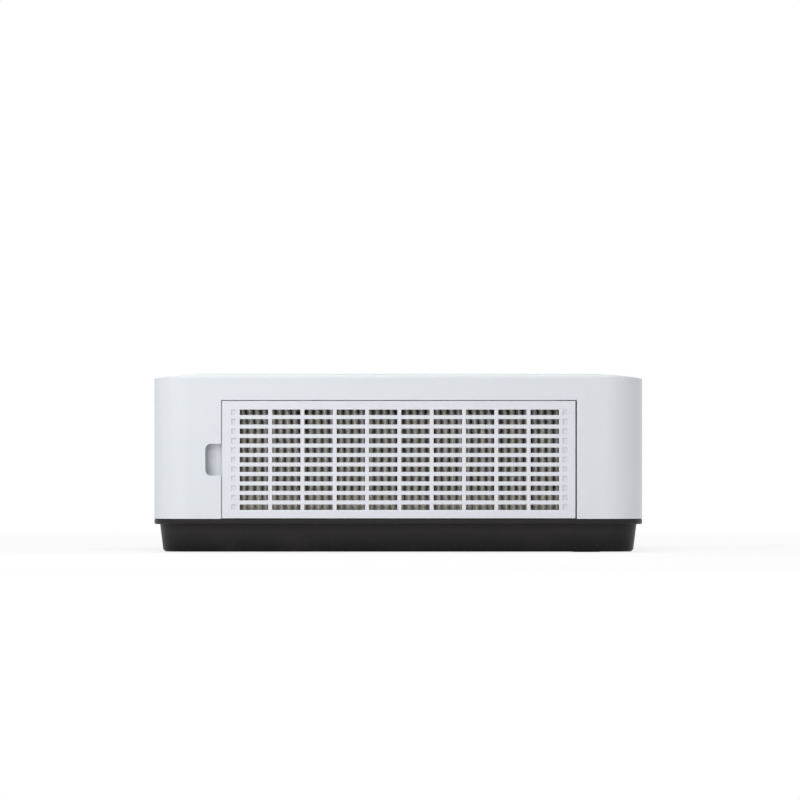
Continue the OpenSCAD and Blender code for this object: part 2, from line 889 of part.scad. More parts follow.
module filter_cover() {
    color("lavender") {
        difference() {
            translate([door_x0, door_y0, door_z0]) rotate([90, 0, 90]) linear_extrude(door_t) difference() {
                square([door_w, door_h]);
                slot_field();
            }
            translate([x_right - blind_depth, door_y0, door_z0]) rotate([90, 0, 90]) {
                linear_extrude(past) blind_field();
            }
        }
        hinge_lug(bay_floor + clear, bay_floor + clear + hinge_lug_h);
        hinge_lug(door_z1 - hinge_lug_h, door_z1);
        bar_z(split_z + clear, bay_floor + hinge_lug_h, hinge_x, hinge_y, hinge_pin_r);
        bar_z(door_z1 - hinge_lug_h / 2, window_z1 + bay_wall, hinge_x, hinge_y, hinge_pin_r);
    }
}

// Filter frame, seated on the bay's floor
filter_x1 = door_x0 - filter_gap;
filter_x0 = filter_x1 - filter_t;
filter_y0 = window_y0 + bay_ledge + clear;
filter_y1 = hinge_y - hinge_lug_r - clear;
filter_z0 = bay_floor;
filter_z1 = window_z1 - bay_ledge - clear;
filter_rim = 2.6;
filter_bar = 1.2;
module filter_frame() {
    color("gray") difference() {
        block(filter_x0, filter_x1, filter_y0, filter_y1, filter_z0, filter_z1);
        block(filter_x0 - past, filter_x1 + past, filter_y0 + filter_rim, filter_y1 - filter_bar,
            filter_z0 + filter_rim, filter_z1 - filter_rim);
    }
}

// Pleated filter sheet, folded to and fro along the bay
media_y0 = filter_y0 + filter_rim;
media_y1 = filter_y1 - filter_bar;
pleats = floor((media_y1 - media_y0) / pleat_pitch);
media_x1 = filter_x1 - (filter_t - pleat_depth) / 2;
function fold(i, side) = [
    media_x1 - (i % 2 == 0 ? 0 : pleat_depth) - side * pleat_t,
    media_y0 + i * (media_y1 - media_y0) / (2 * pleats)
];
module filter_media() {
    front = [for (i = [0 : 2 * pleats]) fold(i, 0)];
    back = [for (i = [2 * pleats : -1 : 0]) fold(i, 1)];
    height = filter_z1 - filter_z0 - 2 * filter_rim;
    color("tan") translate([0, 0, filter_z0 + filter_rim]) linear_extrude(height) {
        polygon(concat(front, back));
    }
}

// ---- Lens ----

module lens_bezel() {
    color("black") on_front(lens_x, lens_z) difference() {
        union() {
            layer(-wall, 0) circle(bezel_r);
            // The flange is flat below, where the shutter's channel passes
            layer(-wall - seat_t, -wall) difference() {
                circle(bezel_seat_r);
                translate([-bezel_seat_r, shutter_z0 - lens_z - bezel_seat_r]) {
                    square([2 * bezel_seat_r, bezel_seat_r]);
                }
            }
        }
        layer(-wall - seat_t - past, past) circle(lens_open_r);
        translate([0, 0, -wall]) cylinder(r1 = lens_open_r, r2 = lens_open_r + wall, h = wall + 0.01);
    }
}

module lens_shutter() {
    color("dimgray") {
        block(shutter_x0, shutter_x1, shutter_y0, shutter_y1, shutter_z0, shutter_z1);
        block(shutter_x0, shutter_x0 + knob_w, shutter_y0, shutter_y1, shutter_z1 - 1, shutter_top);
        block(shutter_x0, shutter_x0 + knob_w, y_front + 0.2, shutter_y0 + shutter_t / 2,
            knob_z - knob_h / 2, knob_z + knob_h / 2);
    }
}

// Barrel on its flange, with collars that keep the rings in place
module lens_barrel() {
    flange_half = 31;
    color("darkgray") difference() {
        union() {
            bar_y(barrel_y0, engine_y0, lens_x, lens_z, barrel_r);
            for (y = [focus_y0 - clear - collar_t, focus_y1 + clear, zoom_y1 + clear]) {
                bar_y(y, y + collar_t, lens_x, lens_z, collar_r);
            }
            block(lens_x - flange_half, lens_x + flange_half, engine_y0 - 4, engine_y0,
                lens_z - flange_half, lens_z + flange_half);
        }
        bar_y(barrel_y0 - past, barrel_y0 + glass_t + lens_back, lens_x, lens_z, barrel_r - barrel_wall);
        bar_y(barrel_y0, engine_y0 + past, lens_x, lens_z, barrel_r - 2 * barrel_wall);
    }
}

// Ring with a ribbed grip and a finger tab that reaches up into the cut in the roof
ribs = 30;
rib_depth = 1;
function rib_r(i) = ring_r - (i % 4 < 2 ? 0 : rib_depth);
function rib_point(i) = rib_r(i) * [cos(90 * i / ribs), sin(90 * i / ribs)];
module grip_ring(y0, width) {
    translate([lens_x, y0 + width, lens_z]) rotate([90, 0, 0]) linear_extrude(width) difference() {
        union() {
            polygon([for (i = [0 : 4 * ribs - 1]) rib_point(i)]);
            translate([-tab_w / 2, ring_r - 2 * rib_depth]) {
                square([tab_w, tab_top - lens_z - ring_r + 2 * rib_depth]);
            }
        }
        circle(barrel_r + run_gap);
    }
}
module focus_ring() {
    color("black") grip_ring(focus_y0, focus_w);
}
module zoom_ring() {
    color("black") grip_ring(zoom_y0, zoom_w);
}

// Front lens: a disc with a domed face, seated on the barrel's shoulder
dome_h = 3.4;
lens_back = 4;
module front_lens() {
    r = barrel_r - barrel_wall - run_gap;
    dome_r = (r * r + dome_h * dome_h) / (2 * dome_h);
    color("lightblue") translate([lens_x, barrel_y0 + lens_back, lens_z]) rotate([-90, 0, 0]) {
        rotate_extrude() intersection() {
            translate([0, -dome_h]) square([r, glass_t + dome_h]);
            translate([0, dome_r - dome_h]) circle(dome_r, $fn = 360);
        }
    }
}

// ---- Grilles and small windows in the case ----

// Insert with slanted slats across its opening
slat_t = 1.2;
slat_w = 5.6;
slat_tilt = 35;
slats = 9;
grille_rim = 5;
module exhaust_grille() {
    open_w = grille_w - 2 * grille_rim;
    open_h = grille_h - 2 * grille_rim;
    color("dimgray") on_front(fan_x, fan_z) {
        difference() {
            insert(grille_w, grille_h, grille_r, grille_depth - wall);
            layer(-grille_depth - past, past) square([open_w, open_h], center = true);
        }
        for (i = [0 : slats - 1]) {
            height = (i - (slats - 1) / 2) * open_h / slats;
            translate([0, height, -grille_depth / 2]) rotate([-slat_tilt, 0, 0]) {
                cube([open_w + 2, slat_t, slat_w], center = true);
            }
        }
    }
}

// Insert with rows of short slots
sound_slot = [14, 2.4];
sound_pitch = [16, 4.8];
module speaker_grille() {
    color("dimgray") on_left(speaker_y, speaker_z) difference() {
        insert(speaker_w, speaker_h, 4, seat_t);
        layer(-wall - seat_t - past, past) {
            for (row = [-4 : 4]) {
                for (col = [-1 : 1]) {
                    translate([col * sound_pitch[0], row * sound_pitch[1]]) square(sound_slot, center = true);
                }
            }
        }
    }
}

module speaker_driver() {
    color("black") on_left(speaker_y, speaker_z) translate([0, 0, -wall - seat_t]) {
        translate([0, 0, -3]) difference() {
            cylinder(r = speaker_r, h = 3);
            translate([0, 0, 1]) cylinder(r1 = speaker_r - 10, r2 = speaker_r - 3, h = 2 + past);
        }
        translate([0, 0, -12]) cylinder(r1 = speaker_r - 11, r2 = speaker_r - 3, h = 9);
        translate([0, 0, -21]) cylinder(r = speaker_r - 8, h = 9);
    }
}

module ir_windows() {
    color("darkred") {
        on_front(ir_front_x, ir_front_z) ir_window();
        on_back(ir_back_x, ir_back_z) ir_window();
    }
}
module ir_window() {
    layer(-wall, 0) circle(ir_r);
    layer(-wall - seat_t, -wall) circle(ir_r + seat);
}

// ---- Jack panel and sockets ----

// Middle height of a socket that stands on the board
function jack_height(h) = board_top + socket_lift + h / 2;
module jack_panel() {
    color("black") difference() {
        on_back(jack_x, jack_z) insert(jack_w, jack_h, 3, seat_t);
        for (x = hdmi_x) socket_hole(x, hdmi_w, hdmi_h);
        socket_hole(usb_x, usb_w, usb_h);
        socket_hole(lan_x, lan_w, lan_h);
        socket_hole(vga_x, vga_w, vga_h);
        for (x = av_x) bar_y(in_back - 2 * seat_t, y_back + past, jack_x + x, av_z, av_r + socket_gap);
    }
}
module socket_hole(x, w, h) {
    on_back(jack_x + x, jack_height(h)) layer(-wall - seat_t - past, past) {
        square([w + 2 * socket_gap, h + 2 * socket_gap], center = true);
    }
}

// Shell of a socket with its cavity open to the back, and its tongue; the mouth stands back a little
mouth_back = 0.3;
module socket_shell(x, w, h, depth, shell, mouth_deep) {
    on_back(jack_x + x, jack_height(h)) difference() {
        layer(-wall - depth, -mouth_back) square([w, h], center = true);
        layer(-mouth_back - mouth_deep, past) square([w - 2 * shell, h - 2 * shell], center = true);
    }
    // Foot that stands on the board
    block(jack_x + x - w / 2, jack_x + x + w / 2, in_back - depth, board_y1,
        board_top, board_top + socket_lift + shell);
}
module tongue(x, h, w, t, lift, length) {
    on_back(jack_x + x, jack_height(h) + lift) layer(-mouth_back - length - past, -5 * mouth_back) {
        square([w, t], center = true);
    }
}
module hdmi_sockets() {
    color("silver") for (x = hdmi_x) {
        socket_shell(x, hdmi_w, hdmi_h, 12, 0.6, 10);
        tongue(x, hdmi_h, 10, 1.4, 0.8, 10);
    }
}
module usb_socket() {
    color("silver") {
        socket_shell(usb_x, usb_w, usb_h, 14, 0.6, 11);
        tongue(usb_x, usb_h, 10.6, 1.8, 1, 11);
    }
}
module lan_socket() {
    color("silver") socket_shell(lan_x, lan_w, lan_h, 16, 1.8, 13);
}

// Fifteen-hole socket with two screw posts
vga_post_x = 12.2;
vga_depth = 10;
module vga_socket() {
    color("royalblue") {
        difference() {
            on_back(jack_x + vga_x, jack_height(vga_h)) {
                layer(-wall - vga_depth, -wall - seat_t) square([vga_w, vga_h], center = true);
                layer(-wall - seat_t, -mouth_back) rounded(17, 8.4, 2);
                for (s = [-1, 1]) {
                    translate([s * vga_post_x, 0]) layer(-wall - seat_t, -mouth_back) circle(2.6, $fn = 6);
                }
            }
            on_back(jack_x + vga_x, jack_height(vga_h)) layer(-4, past) {
                for (row = [-1 : 1]) {
                    for (col = [-2 : 2]) translate([col * 2.4 + row * 0.6, row * 2]) circle(0.6);
                }
                for (s = [-1, 1]) translate([s * vga_post_x, 0]) circle(1.2);
            }
        }
        block(jack_x + vga_x - vga_w / 2, jack_x + vga_x + vga_w / 2, in_back - vga_depth, board_y1,
            board_top, board_top + 2 * socket_lift);
    }
}

// Three round sockets on one block
av_hole_r = 1.7;
av_depth = 14;
module av_jacks() {
    low = min([for (x = av_x) x]) + jack_x - av_r;
    high = max([for (x = av_x) x]) + jack_x + av_r;
    color("gold") {
        difference() {
            for (x = av_x) bar_y(board_y1, y_back - mouth_back, jack_x + x, av_z, av_r);
            for (x = av_x) bar_y(in_back - seat_t, y_back + past, jack_x + x, av_z, av_hole_r);
        }
        block(low, high, in_back - av_depth, board_y1, board_top, av_z + av_r + 1);
    }
}

// Three-blade mains inlet: a deep shroud with its blades
inlet_deep = 20;
inlet_cavity = 17;
inlet_mouth = [24.4, 16.4];
blade_at = [[-7, -1.5], [7, -1.5], [0, 2.5]];
blade_size = [2, 4];
blade_reach = 12.5;
module inlet_outline(side) {
    cut = 4;
    w = inlet_mouth[0] / 2 + side;
    h = inlet_mouth[1] / 2 + side;
    polygon([[-w, -h], [w, -h], [w, h - cut], [w - cut, h], [-w + cut, h], [-w, h - cut]]);
}
module ac_inlet() {
    color("black") on_back(inlet_x, mains_z) {
        difference() {
            union() {
                insert(inlet_w, inlet_h, inlet_r, seat_t);
                layer(-inlet_deep, -wall) inlet_outline(1.8);
            }
            layer(-inlet_cavity, past) inlet_outline(0);
        }
        for (p = blade_at) {
            layer(-inlet_cavity - past, -inlet_cavity + blade_reach) {
                translate(p) square(blade_size, center = true);
            }
        }
    }
}

// Rocker with a shallow valley, tipped towards its OFF side
module power_switch() {
    half = rocker_h / 2;
    color("black") on_back(switch_x, mains_z) translate([0, 0, -rocker_depth]) rotate([-rocker_tilt, 0, 0]) {
        translate([-rocker_w / 2, 0, 0]) rotate([90, 0, 90]) linear_extrude(rocker_w) {
            polygon([[-6, -3], [6, -3], [half, 1], [half, 4.3], [0, 3], [-half, 4.3], [-half, 1]]);
        }
        rotate([0, 90, 0]) cylinder(r = rocker_pin_r, h = rocker_w + 2 * rocker_wall, center = true);
    }
}

// ---- Control plate and keys ----

// Holes for every key and dot, round the plate's middle
module key_holes() {
    layer(-wall - past, past) {
        for (at = [power_at, nav_at]) translate(at) circle(big_key_r + key_gap);
        for (at = [source_at, menu_at, play_at, stop_at]) translate(at) circle(key_r + key_gap);
        for (a = [0 : 90 : 270]) rotate(a) translate([key_ring, 0]) circle(key_r + key_gap);
        for (at = lamp_dots) translate(at) circle(dot_r + run_gap);
    }
}
module control_plate() {
    color("dimgray") translate([plate_x, plate_y, body_h]) difference() {
        layer(-plate_recess, -plate_recess + plate_t) {
            rounded(plate_w - 2 * seam, plate_d - 2 * seam, plate_r - seam);
        }
        key_holes();
    }
}
module indicator_lenses() {
    color("lime") for (at = lamp_dots) {
        bar_z(roof_in - key_flange_t, body_h - plate_recess + plate_t,
            plate_x + at[0], plate_y + at[1], dot_r);
    }
}

// Round key: cap through the plate, and a flange under the roof that keeps it in.
// The direction keys are named as someone who stands behind the lens sees them.
module key(at, r) {
    bar_z(roof_in - clear - key_flange_t, key_top, plate_x + at[0], plate_y + at[1], r);
    bar_z(roof_in - clear - key_flange_t, roof_in - clear, plate_x + at[0], plate_y + at[1], r + key_flange);
}
module power_button() {
    color("white") key(power_at, big_key_r);
}
module source_button() {
    color("white") key(source_at, key_r);
}
module menu_button() {
    color("white") key(menu_at, key_r);
}
module up_button() {
    color("white") key([0, -key_ring], key_r);
}
module down_button() {
    color("white") key([0, key_ring], key_r);
}
module left_button() {
    color("white") key([key_ring, 0], key_r);
}
module right_button() {
    color("white") key([-key_ring, 0], key_r);
}
module enter_button() {
    color("white") key(nav_at, big_key_r);
}
module play_button() {
    color("white") key(play_at, key_r);
}
module stop_button() {
    color("white") key(stop_at, key_r);
}
module eject_button() {
    color("white") on_left(eject_y, eject_z) {
        layer(-wall - clear - key_flange_t, -0.15) circle(eject_r);
        layer(-wall - clear - key_flange_t, -wall - clear) circle(eject_r + key_flange);
    }
}

// ---- Boards, lamp and light engine ----

// Bare board
module board(x0, x1, y0, y1, z) {
    block(x0, x1, y0, y1, z, z + board_t);
}

// Places on a board count from its corner; the heights count from its upper face
module main_board() {
    cooler_at = [60, 50];
    cooler_side = 32;
    cooler_base = 3;
    fins = 7;
    fin_t = 2;
    fin_h = 12;
    chip_at = [104, 44];
    chip_pitch = 12;
    can_at = [24, 40];
    can_pitch = 11;
    color("green") {
        board(board_x0, board_x1, board_y0, board_y1, board_z);
        translate([board_x0, board_y0, board_top]) {
            // Processor under its finned cooler
            translate(cooler_at) cube([cooler_side, cooler_side, cooler_base]);
            for (i = [0 : fins - 1]) {
                translate(cooler_at + [i * (cooler_side - fin_t) / (fins - 1), 0]) {
                    cube([fin_t, cooler_side, fin_h]);
                }
            }
            // Memory chips and a row of capacitors
            for (i = [0 : 3]) translate(chip_at + [0, i * chip_pitch]) cube([14, 9, 1.2]);
            for (i = [0 : 5]) translate(can_at + [0, i * can_pitch]) cylinder(r = 4, h = 9);
        }
    }
}

module power_supply() {
    depth = supply_y1 - supply_y0;
    transformer = [32, 28, 26];
    standby_transformer = [20, 22, 20];
    sink = [66, 3, 30];
    sink_x = 34;
    color("darkgreen") {
        board(supply_x0, supply_x1, supply_y0, supply_y1, supply_z);
        translate([supply_x0, supply_y0, supply_z + board_t]) {
            translate([38, 16]) cube(transformer);
            translate([78, 18]) cube(standby_transformer);
            // Mains capacitor, choke and the two heat sinks
            translate([20, 30]) cylinder(r = 12.5, h = 34);
            translate([supply_x1 - supply_x0 - 14, 60]) cylinder(r = 9, h = 16);
            for (y = [52, depth - 14]) translate([sink_x, y]) cube(sink);
        }
    }
}

module lamp_housing() {
    color("silver") difference() {
        block(lamp_x - lamp_half, lamp_x + lamp_half, lamp_y0, lamp_y1, lamp_z0, lamp_z1);
        block(lamp_x - lamp_half + lamp_wall, lamp_x + lamp_half - lamp_wall,
            lamp_y0 + lamp_wall, lamp_y1 - lamp_wall, lamp_z0 + lamp_wall, lamp_z1 - lamp_wall);
        bar_y(lamp_y0 - past, lamp_y0 + lamp_wall + past, lamp_x, lens_z, lamp_port_r);
    }
}

// Bowl reflector with its rim on the housing's front wall, and the burner on its axis
bowl_t = 2;
neck_r = 6;
neck_h = 14;
burner_r = 4;
burner_low = 6;
bulb_r = 6;
bulb_at = 14;
module lamp_unit() {
    rim_y = lamp_y0 + lamp_wall;
    color("lightyellow") translate([lamp_x, rim_y, lens_z]) rotate([-90, 0, 0]) {
        difference() {
            intersection() {
                sphere(reflector_r + bowl_t);
                cylinder(r = reflector_r + bowl_t, h = reflector_r + bowl_t);
            }
            sphere(reflector_r);
        }
        translate([0, 0, reflector_r]) cylinder(r = neck_r, h = neck_h);
        translate([0, 0, burner_low]) cylinder(r = burner_r, h = reflector_r + past - burner_low);
        translate([0, 0, bulb_at]) sphere(bulb_r);
    }
}

module light_engine() {
    color("gray") difference() {
        block(engine_x0, engine_x1, engine_y0, engine_y1, engine_z0, engine_z1);
        block(engine_x0 + engine_wall, engine_x1 - engine_wall, engine_y0 + engine_wall,
            engine_y1 - engine_wall, engine_z0 + engine_wall, engine_z1 - engine_wall);
        bar_y(engine_y0 - past, engine_y0 + engine_wall + past, lens_x, lens_z, barrel_r - 2 * barrel_wall);
        bar_y(engine_y1 - engine_wall - past, engine_y1 + past, lamp_x, lens_z, lamp_port_r);
    }
}

// Crossed prism with a picture panel on three sides, on its pedestal
prism = 26;
prism_back = 28;
panel_gap = 3;
panel_t = 2;
shelf_out = 6;
shelf_t = 3;
pedestal_r = 10;
module prism_block() {
    y = engine_y0 + prism_back;
    z = lens_z - prism / 2;
    half = prism / 2;
    color("lightcyan") {
        block(lens_x - half, lens_x + half, y - half, y + half, z, z + prism);
        block(lens_x - half - shelf_out, lens_x + half + shelf_out, y - half, y + half + shelf_out,
            z - shelf_t, z);
        bar_z(engine_z0 + engine_wall, z - shelf_t, lens_x, y, pedestal_r);
        for (s = [-1, 1]) {
            x = lens_x + s * (half + panel_gap + panel_t / 2);
            block(x - panel_t / 2, x + panel_t / 2, y - half, y + half, z, z + prism);
        }
        block(lens_x - half, lens_x + half, y + half + panel_gap, y + half + panel_gap + panel_t,
            z, z + prism);
    }
}

// ---- Fans ----

// Square frame with a round duct; its motor plate and spokes lie at the low end
duct_r = fan_size / 2 - 2.5;
plate_deep = 3;
module fan_frame() {
    difference() {
        layer(0, fan_t) rounded(fan_size, fan_size, 4);
        layer(-past, fan_t + past) circle(duct_r);
        for (sx = [-1, 1]) {
            for (sy = [-1, 1]) {
                translate([sx, sy, 0] * (fan_size / 2 - 5)) layer(-past, fan_t + past) circle(2.1);
            }
        }
    }
    cylinder(r = hub_r, h = plate_deep);
    for (a = [45 : 90 : 315]) {
        rotate(a) translate([hub_r - 1, -2, 0]) cube([duct_r - hub_r + 2, 4, plate_deep]);
    }
}

// Hub with slanted blades
blade_w = 17;
blade_t = 1.6;
blade_tilt = 38;
module fan_rotor() {
    hub_h = fan_t - plate_deep - 2 * clear - 1;
    translate([0, 0, plate_deep + clear]) {
        cylinder(r = hub_r, h = hub_h);
        for (i = [0 : fan_blades - 1]) {
            rotate(i * 360 / fan_blades) translate([hub_r - 1.5, 0, hub_h / 2]) rotate([blade_tilt, 0, 0]) {
                translate([0, -blade_w / 2, -blade_t / 2]) cube([duct_r - hub_r - 0.8, blade_w, blade_t]);
            }
        }
    }
}
module at_intake() {
    translate([intake_x0, intake_y, fan_z]) rotate([90, 0, 90]) children();
}
module at_exhaust() {
    translate([fan_x, exhaust_y0 + fan_t, fan_z]) rotate([90, 0, 0]) children();
}
module intake_fan_frame() {
    color("dimgray") at_intake() fan_frame();
}
module intake_fan() {
    color("black") at_intake() fan_rotor();
}
module exhaust_fan_frame() {
    color("dimgray") at_exhaust() fan_frame();
}
module exhaust_fan() {
    color("black") at_exhaust() fan_rotor();
}

// ---- Disc drive ----

// Channel that guides one side of the tray
channel_grip = 3;
channel_t = 2;
channel_short = 10;
module tray_channel() {
    difference() {
        block(drive_x0, drive_x1 - channel_short, drive_y - drive_half, tray_y0 + channel_grip,
            tray_z - channel_t, tray_z + tray_t + channel_t);
        block(drive_x0 - past, drive_x1, tray_y0 - clear, tray_y0 + channel_grip + past,
            tray_z - clear, tray_z + tray_t + clear);
    }
}

// Chassis tray with its deck, gear post and rail brackets, the two sled rails, and the loading motor
bracket_t = 3;
bracket_half = 2.5;
deck_rim = 4;
pulley_t = 4;
loader_r = 9;
loader_h = 9;
loader_y = 44;
module drive_chassis() {
    y0 = drive_y - drive_half;
    y1 = drive_y + drive_half;
    rail_x0 = sled_x0 - bracket_t - 2;
    rail_x1 = sled_x0 + sled_w + sled_travel + bracket_t;
    color("silver") {
        block(drive_x0, drive_x1, y0, y1, drive_z, drive_floor);
        block(drive_x0, drive_x1, y0, y0 + drive_wall, drive_floor, drive_top);
        block(drive_x0, drive_x1, y1 - drive_wall, y1, drive_floor, drive_top);
        block(drive_x1 - drive_wall, drive_x1, y0 + drive_wall, y1 - drive_wall, drive_floor, drive_top);
        tray_channel();
        translate([0, 2 * drive_y, 0]) mirror([0, 1, 0]) tray_channel();
        block(disc_x - motor_r - deck_rim, rail_x1 + deck_rim, drive_y - sled_half - deck_rim,
            drive_y + sled_half + deck_rim, drive_floor, deck_top);
        for (x = [rail_x0, rail_x1]) {
            for (s = [-1, 1]) {
                y = drive_y + s * rail_y;
                block(x, x + bracket_t, y - bracket_half, y + bracket_half, deck_top, rail_z + bracket_half);
            }
        }
        for (s = [-1, 1]) bar_x(rail_x0, rail_x1 + bracket_t, drive_y + s * rail_y, rail_z, rail_r);
        bar_z(drive_floor, gear_z0 - pulley_t - clear, gear_x, gear_y, gear_pin_r + 2);
        bar_z(drive_floor, gear_z1, gear_x, gear_y, gear_pin_r);
        bar_z(drive_floor, drive_floor + loader_h, gear_x + 2, gear_y + loader_y, loader_r);
    }
}

// Trapezoid tooth of the rack, about its middle; its flanks lean by the pressure angle
pressure = 20;
backlash = 0.12;
function rack_tooth(i, x) = let (
    lean = tan(pressure) * gear_module,
    half = (PI * gear_module / 2 - backlash) / 2
) [
    [x - half - 1.25 * lean, rack_y + rack_back],
    [x - half + lean, pitch_y + gear_module],
    [x + half - lean, pitch_y + gear_module],
    [x + half + 1.25 * lean, rack_y + rack_back]
];
rack_steps_back = 2;
rack_steps = ceil((tray_travel + 8) / (PI * gear_module)) + rack_steps_back;
module rack() {
    pitch = PI * gear_module;
    x0 = gear_x - rack_steps_back * pitch;
    teeth = [for (i = [0 : rack_steps]) each rack_tooth(i, x0 + i * pitch)];
    x_low = x0 - pitch / 2;
    x_high = x0 + (rack_steps + 0.5) * pitch;
    translate([0, 0, gear_z0]) linear_extrude(tray_z - gear_z0 + 1) {
        low_end = [[x_low, rack_y], [x_low, rack_y + rack_back]];
        high_end = [[x_high, rack_y + rack_back], [x_high, rack_y]];
        polygon(concat(low_end, teeth, high_end));
    }
}

// Tray with the wells of both disc sizes and the window over the turntable and pickup
well_floor = 2.4;
well_gap = 0.6;
small_well = 0.8;
small_disc_r = 40;
tray_window = 20;
tray_window_x = 62;
module disc_tray() {
    color("dimgray") {
        difference() {
            block(tray_x0, tray_x1, tray_y0, tray_y1, tray_z, tray_z + tray_t);
            bar_z(tray_z + well_floor, tray_z + tray_t + past, disc_x, drive_y, disc_r + well_gap);
            bar_z(tray_z + well_floor - small_well, tray_z + tray_t + past, disc_x, drive_y,
                small_disc_r + well_gap);
            bar_z(tray_z - past, tray_z + tray_t, disc_x, drive_y, tray_window);
            block(disc_x, disc_x + tray_window_x, drive_y - tray_window, drive_y + tray_window,
                tray_z - past, tray_z + tray_t);
        }
        rack();
    }
}

// Flush door on the tray's end
module tray_front() {
    color("whitesmoke") on_left(drive_y, tray_z + tray_t / 2) {
        layer(-wall, 0) rounded(tray_w + 2 * front_margin_y, tray_t + 2 * front_margin_z, 1.8);
    }
}

// Involute outline of one gear tooth, and the whole gear
function involute(r, a) = [r * (cos(a) + a * PI / 180 * sin(a)), r * (sin(a) - a * PI / 180 * cos(a))];
function turned(p, a) = [p[0] * cos(a) - p[1] * sin(a), p[0] * sin(a) + p[1] * cos(a)];
function unwound(r, base) = sqrt(r * r / (base * base) - 1) * 180 / PI;
flank_steps = 4;
module gear_outline() {
    base = pitch_r * cos(pressure);
    root = pitch_r - 1.25 * gear_module;
    tip = pitch_r + gear_module;
    last = unwound(tip, base);
    at_pitch = involute(base, unwound(pitch_r, base));
    half = 90 / gear_teeth - backlash / 2 / pitch_r * 180 / PI + atan2(at_pitch[1], at_pitch[0]);
    flank = [for (i = [0 : flank_steps]) turned(involute(base, last * i / flank_steps), -half)];
    other = [for (i = [flank_steps : -1 : 0]) [flank[i][0], -flank[i][1]]];
    tooth = concat([turned([root, 0], -half)], flank, other, [turned([root, 0], half)]);
    polygon([for (k = [0 : gear_teeth - 1]) for (p = tooth) turned(p, k * 360 / gear_teeth)]);
}

// Loading gear: a tooth gap faces the rack tooth at rest; the belt pulley is below
module loading_gear() {
    color("ivory") translate([gear_x, gear_y, 0]) difference() {
        union() {
            translate([0, 0, gear_z0]) rotate(-90 + 180 / gear_teeth) {
                linear_extrude(gear_z1 - gear_z0) gear_outline();
            }
            translate([0, 0, gear_z0 - pulley_t]) {
                cylinder(r = pitch_r - 1.25 * gear_module - clear, h = pulley_t);
            }
        }
        translate([0, 0, gear_z0 - pulley_t - past]) {
            cylinder(r = gear_pin_r + run_gap, h = gear_z1 - gear_z0 + pulley_t + 2 * past);
        }
    }
}

// Bridge over the tray with the clamper's hole, seated on the chassis walls
bridge_half = 22;
bridge_top = drive_top + 2;
module clamp_bridge() {
    color("silver") difference() {
        block(disc_x - bridge_half, disc_x + bridge_half, drive_y - drive_half, drive_y + drive_half,
            drive_top, bridge_top);
        bar_z(drive_top - past, bridge_top + past, disc_x, drive_y, clamper_r + run_gap);
    }
}
module clamper() {
    color("white") {
        bar_z(tray_z + tray_t + 0.8, bridge_top + clear, disc_x, drive_y, clamper_r);
        bar_z(bridge_top + clear, bridge_top + clear + 2, disc_x, drive_y, clamper_r + 3);
    }
}

module spindle_motor() {
    color("gray") difference() {
        bar_z(deck_top, motor_top, disc_x, drive_y, motor_r);
        bar_z(deck_top + 2, motor_top + past, disc_x, drive_y, spindle_r + run_gap);
    }
}
module turntable() {
    top = tray_z - 1.6;
    color("black") {
        bar_z(deck_top + 2 + clear, top, disc_x, drive_y, spindle_r);
        bar_z(motor_top + clear, top, disc_x, drive_y, turntable_r);
        translate([disc_x, drive_y, top]) cylinder(r1 = 7.4, r2 = 6.6, h = 1.2);
    }
}

// Sled with its bores on the rails and the lens on top
sled_top = rail_z + 4;
module pickup_sled() {
    color("black") {
        difference() {
            block(sled_x0, sled_x0 + sled_w, drive_y - sled_half, drive_y + sled_half,
                deck_top + 0.8, sled_top);
            for (s = [-1, 1]) {
                y = drive_y + s * rail_y;
                bar_x(sled_x0 - past, sled_x0 + sled_w + past, y, rail_z, rail_r + run_gap);
            }
        }
        // Lens carrier and lens
        block(sled_x0 + 1, sled_x0 + 13, drive_y - 8, drive_y + 8, sled_top, sled_top + 2);
        bar_z(sled_top + 2, sled_top + 3.4, sled_x0 + 6, drive_y, 3.4);
    }
}

// ---- Feet and screws ----

module front_foot() {
    color("black") {
        bar_z(0, pad_t, front_foot_x, front_foot_y, front_pad_r);
        bar_z(pad_t, split_z + foot_travel, front_foot_x, front_foot_y, front_stem_r);
    }
}
module foot_button() {
    color("black") block(front_foot_x - foot_key_w / 2, front_foot_x + foot_key_w / 2,
        foot_key_y0, foot_key_y1, foot_key_z - foot_key_h / 2, foot_key_z + foot_key_h / 2);
}
module rear_foot(side) {
    color("black") {
        bar_z(0, pad_t, side * rear_foot_x, rear_foot_y, foot_r);
        bar_z(pad_t, rear_stem_h, side * rear_foot_x, rear_foot_y, rear_stem_r);
    }
}
module rear_foot_left() {
    rear_foot(-1);
}
module rear_foot_right() {
    rear_foot(1);
}

// Cross-head screws, heads downward
screw_head_t = 2.2;
screw_grip = 12;
cross = [4, 0.9, 2.4];
module case_screws() {
    color("silver") for (x = [-screw_x, screw_x]) {
        for (y = [-screw_y, screw_y]) {
            difference() {
                bar_z(screw_seat_z - screw_head_t, screw_seat_z, x, y, screw_head_r);
                for (a = [0, 90]) {
                    translate([x, y, screw_seat_z - screw_head_t]) rotate(a) cube(cross, center = true);
                }
            }
            bar_z(screw_seat_z, screw_joint_z + screw_grip, x, y, screw_r);
        }
    }
}

